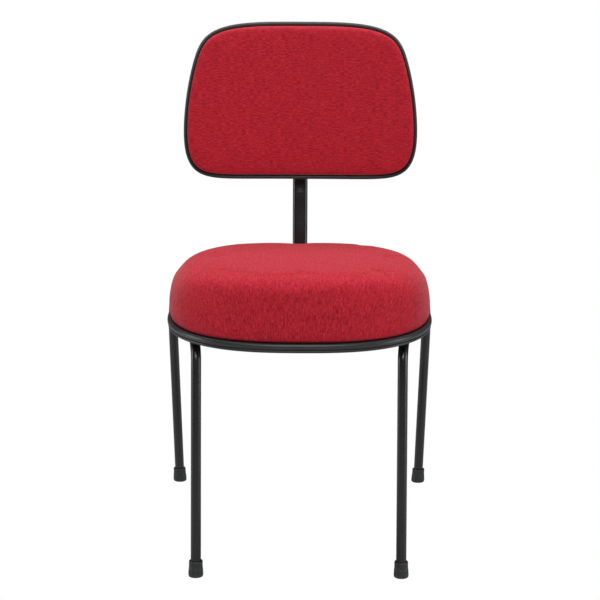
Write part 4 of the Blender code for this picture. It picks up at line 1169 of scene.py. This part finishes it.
def knob(centre, rear, face, stud_start):
    """A five-lobed clamp knob with a collar and finger hollows, on its threaded stud."""
    depth, radius = 17.0, 19.0
    steps = [(0.44, 0.0), (0.49, 0.3), (0.51, 1.0), (0.52, 2.6), (0.58, 3.3), (0.80, 3.9),
             (0.90, 4.4), (0.955, 5.1), (0.985, 6.2), (1.0, 7.6), (1.0, 11.8), (0.985, 13.2),
             (0.95, 14.4), (0.89, 15.4), (0.80, 16.2), (0.70, 16.6), (0.60, 16.4), (0.50, 16.0),
             (0.30, 15.8), (0.10, 15.8)]
    wave = np.cos(5.0 * turns(120))
    loops = []
    for scale, s in steps:
        lobe = 0.11 * min(max((scale - 0.55) / 0.3, 0.0), 1.0)
        r = radius * scale * (1.0 + lobe * (wave - 0.25 * (1.0 - wave * wave)))
        loops.append(ring(centre + rear * (face + s), X, POST_UP, r, 120))
    piece("clamp_knob_handle", lofted(loops), KNOB, "knob", ("knob_handle",),
          sharp=50.0)
    end = face + depth - 5.0
    stud = lofted(thread(centre, rear, STUD_R, stud_start, end, 1.25))
    fastener("clamp_knob_stud", stud, "knob", "knob_stud")


# ---- backrest -------------------------------------------------------------------
def back_outline(inset, count):
    """The backrest's outline as (sideways, up) points from the middle of the bottom."""
    v = -np.cos(math.pi * np.arange(1441) / 1440)
    n, m = np.where(v > 0, BACK_TOP[0], BACK_LOW[0]), np.where(v > 0, BACK_TOP[1], BACK_LOW[1])
    width = BACK_HALF_W * (1.0 + BACK_TAPER * v + BACK_BELLY * v * v)
    width = width * np.clip(1.0 - np.abs(v) ** n, 0.0, 1.0) ** (1.0 / m)
    half = np.column_stack([width, BACK_HALF_H * v])
    dense = np.vstack([half, half[-2:0:-1] * (-1.0, 1.0)])
    even = resampled(dense, count * 4)
    along = np.roll(even, -2, 0) - np.roll(even, 2, 0)
    along /= np.linalg.norm(along, axis=1)[:, None]
    return (even + inset * np.column_stack([-along[:, 1], along[:, 0]]))[::4]


def curved(plan, fwd):
    """Points of the bent backrest at a distance in front of the post."""
    return local(plan[:, 0], fwd + plan[:, 0] ** 2 / (2.0 * BACK_CURVE_R), plan[:, 1])


BACK_MIDDLE = np.zeros(2)


def back_cushion():
    """The backrest pad: nearly flat in front, rounded over at its edge and tucked behind the bead."""
    disc = Disc(34)
    side = BACK_BAND_W + 0.5
    front = BACK_PAD_FRONT - 2.0
    start = BACK_EDGE_T + BACK_BOARD_T + CLEAR + 0.4
    inner = side + BACK_ROUND
    plan = disc.spread(back_outline(inner, disc.size), BACK_MIDDLE)
    shape = Shape()
    rim = add_disc(shape, disc, curved(plan, front + 2.0 * (1.0 - disc.level ** 2)))
    slacks = [np.zeros(len(plan))]
    flat = [plan]
    steps = []
    for i in range(1, 8):
        a = math.pi / 2.0 * i / 7
        steps.append((inner - BACK_ROUND * math.sin(a), front - BACK_ROUND + BACK_ROUND * math.cos(a),
                      BACK_ROUND * (a - math.sin(a))))
    roll = BACK_ROUND * (math.pi / 2.0 - 1.0)
    steps += [(side, BACK_BAND_FRONT - 1.0, roll + 3.0), (side + 0.3, start + 1.5, roll + 6.0),
              (side + 0.8, start, roll + 8.0)]
    for inset, fwd, slack in steps:
        loop = back_outline(inset, disc.size)
        rim = shape.grow(rim, curved(loop, fwd))
        flat.append(loop)
        slacks.append(np.full(len(loop), slack))
    hem = len(plan) + (len(steps) - 3) * disc.size
    rear = disc.spread(back_outline(side + 5.0, disc.size), BACK_MIDDLE)
    shape.band(rim, add_disc(shape, disc, curved(rear, start)))
    flat.append(rear)
    slacks.append(np.full(len(rear), roll + 9.0))
    cloth = flat_cloth(np.vstack(flat), BACK_MIDDLE, np.concatenate(slacks))
    obj = piece("back_cushion", shape, BACK_CLOTH, "backrest",
                ("back_cover", "back_foam"), sharp=180.0, uv=cloth)
    stuff(obj, range(hem, shape.count), spare=0.2, cap=1.2)


def back_edge_bead():
    """The flatter PVC profile round the backrest."""
    low, high = BACK_EDGE_T, BACK_BAND_FRONT
    section = [(BACK_BAND_W, low), (5.0, low)] + nosing(low, high, 4.0, 16)
    section += [(5.2, high - 0.25), (BACK_BAND_W, high - 0.8)]
    loops = [curved(back_outline(i, EDGE_POINTS), t) for i, t in section]
    piece("back_edge_bead", lofted(loops, wrap=True), TRIM, "backrest",
          ("back_edge_profile",))


def back_shell():
    """The moulded rear shell, with a shallow step round its border."""
    disc = Disc(32)
    rear, front = SHELL_BACK_T, SHELL_BACK_T + SHELL_T
    step = 0.7
    edge = [(24.0, rear + step), (22.6, rear + step - 0.08), (21.4, rear + 0.35), (20.2, rear + 0.04),
            (18.8, rear), (5.0, rear), (3.4, rear + 0.12), (2.2, rear + 0.5), (1.5, rear + 1.1),
            (1.2, rear + 1.9), (1.2, front - 0.4), (1.6, front)]
    loops = [curved(back_outline(i, disc.size), t) for i, t in edge]
    behind = disc.spread(back_outline(25.5, disc.size), BACK_MIDDLE)
    inside = disc.spread(back_outline(3.0, disc.size), BACK_MIDDLE)
    shape = slab(disc, curved(behind, rear + step), loops, curved(inside, front))
    piece("back_shell", shape, SHELL, "backrest", ("back_rear_shell",))


def clevis():
    """The backrest's bracket: a plate, two ears about the pivot, their welds, and four screws."""
    rear = SHELL_BACK_T - CLEAR - 3.0
    pivot_up = along_post(PIVOT_Z)
    steel("clevis_plate", plate(local(0.0, rear, -12.0), POST_UP, POST_FWD, 35.0, 46.0, 3.0),
          "backrest", ("back_bracket",))
    inside = LUG_HALF_W + CLEAR
    ear = nose_radii(rear + 1.0 - PIVOT_T, 8.8)
    for name, x0 in (("left", inside), ("right", -inside - EAR_T)):
        centre = local(x0, PIVOT_T, pivot_up)
        flange = holed_plate(ear, centre, POST_FWD, POST_UP, X, EAR_T, 3.2)
        steel(f"clevis_ear_{name}", flange, "backrest")
        x = x0 + EAR_T + 0.7 if x0 > 0 else x0 - 0.7
        a, b = (local(x, rear - 0.5, pivot_up + ups) for ups in (-8.4, 8.4))
        steel(f"clevis_weld_{name}", bead(line(a, b), 1.4, False, x0), "backrest")
    for number, (x, up) in enumerate(BRACKET_SCREWS, 1):
        head = local(x, rear - CLEAR, up)
        screw = socket_screw(head, POST_FWD, 4.4, 2.5, 2.2, 15.5)
        fastener(f"clevis_screw_{number}", screw, "backrest", f"bracket_screw_{number}")


def carried_over():
    """CAD nodes whose own shape is right get a finished material."""
    kept = {"seat_board": PLY, "back_board": PLY, "clamp_pad": NYLON}
    kept.update({f"seat_tnut_{end}_{side}": ZINC for end, _ in BRACKET_YS for side, _ in SIDES})
    for name, material in kept.items():
        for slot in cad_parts[name].material_slots:
            slot.material = material


# ---- studio ---------------------------------------------------------------------
def softbox(name, place, aim, size, watts):
    data = bpy.data.lights.new(name, "AREA")
    data.shape = "RECTANGLE"
    data.size, data.size_y = size
    data.energy = watts
    obj = bpy.data.objects.new(name, data)
    obj.location = place
    obj.rotation_mode = "QUATERNION"
    obj.rotation_quaternion = (Vector(aim) - Vector(place)).to_track_quat("-Z", "Y")
    scene.collection.objects.link(obj)


def studio():
    """A white floor and surround, a soft key from above and a softbox on each side."""
    mesh = bpy.data.meshes.new("floor")
    size = 40.0
    corners = [(-size, -size, 0.0), (size, -size, 0.0), (size, size, 0.0), (-size, size, 0.0)]
    mesh.from_pydata(corners, [], [(0, 1, 2, 3)])
    floor = bpy.data.objects.new("floor", mesh)
    scene.collection.objects.link(floor)
    pale = Finish("floor_finish", (0.50, 0.50, 0.50), 0.7, specular=0.2)
    cloud = pale.grain(900.0)
    pale.colour(pale.blend(cloud, (0.48, 0.48, 0.48), (0.52, 0.52, 0.52)))
    shown = pale.node("Emission", {"Color": (1.0, 1.0, 1.0, 1.0), "Strength": 1.0})
    seen = pale.node("LightPath").outputs["Is Camera Ray"]
    mix = pale.node("MixShader", {0: seen, 1: pale.shader.outputs[0], 2: shown.outputs[0]})
    pale.tree.links.new(mix.outputs[0], pale.tree.nodes["Material Output"].inputs["Surface"])
    mesh.materials.append(pale.mat)
    world = bpy.data.worlds.new("surround")
    scene.world = world
    world.use_nodes = True
    tree = world.node_tree
    shown = tree.nodes["Background"]
    shown.inputs["Color"].default_value = (1.0, 1.0, 1.0, 1.0)
    lighting = tree.nodes.new("ShaderNodeBackground")
    lighting.inputs["Color"].default_value = (1.0, 1.0, 1.0, 1.0)
    lighting.inputs["Strength"].default_value = 0.10
    path = tree.nodes.new("ShaderNodeLightPath")
    mix = tree.nodes.new("ShaderNodeMixShader")
    tree.links.new(path.outputs["Is Camera Ray"], mix.inputs[0])
    tree.links.new(lighting.outputs[0], mix.inputs[1])
    tree.links.new(shown.outputs[0], mix.inputs[2])
    tree.links.new(mix.outputs[0], tree.nodes["World Output"].inputs["Surface"])
    softbox("key", (0.0, 0.55, 2.7), (0.0, 0.0, 0.45), (2.6, 1.6), 77.0)
    softbox("front_fill", (0.0, -3.2, 2.5), (0.0, 0.0, 0.5), (2.4, 1.4), 92.0)
    softbox("left_box", (-2.1, -0.05, 0.55), (0.0, 0.0, 0.4), (0.9, 1.0), 13.0)
    softbox("right_box", (2.1, -0.6, 0.55), (0.0, 0.0, 0.4), (0.9, 1.0), 14.0)
    scene.view_settings.view_transform = "Standard"
    scene.view_settings.look = "None"


def camera():
    """A long lens in front, level with the backrest and looking slightly down."""
    data = bpy.data.cameras.new("camera")
    data.sensor_width = 36.0
    data.lens = 117.84
    data.shift_y = -0.0133
    obj = bpy.data.objects.new("camera", data)
    obj.location = (0.0004, -3.1038, 1.101)
    down, roll = 12.61, 0.26          # degrees
    level = Matrix.Rotation(math.radians(90.0 - down), 3, "X")
    obj.rotation_euler = (level @ Matrix.Rotation(math.radians(roll), 3, "Z")).to_euler()
    scene.collection.objects.link(obj)
    scene.camera = obj


side_frames()
cross_tubes()
feet()
seat_pan()
seat_edge_bead()
seat_cushion()
seat_fixings()
post()
saddle()
carriage()
back_shell()
back_edge_bead()
back_cushion()
clevis()
carried_over()
studio()
camera()

bpy.context.view_layer.update()
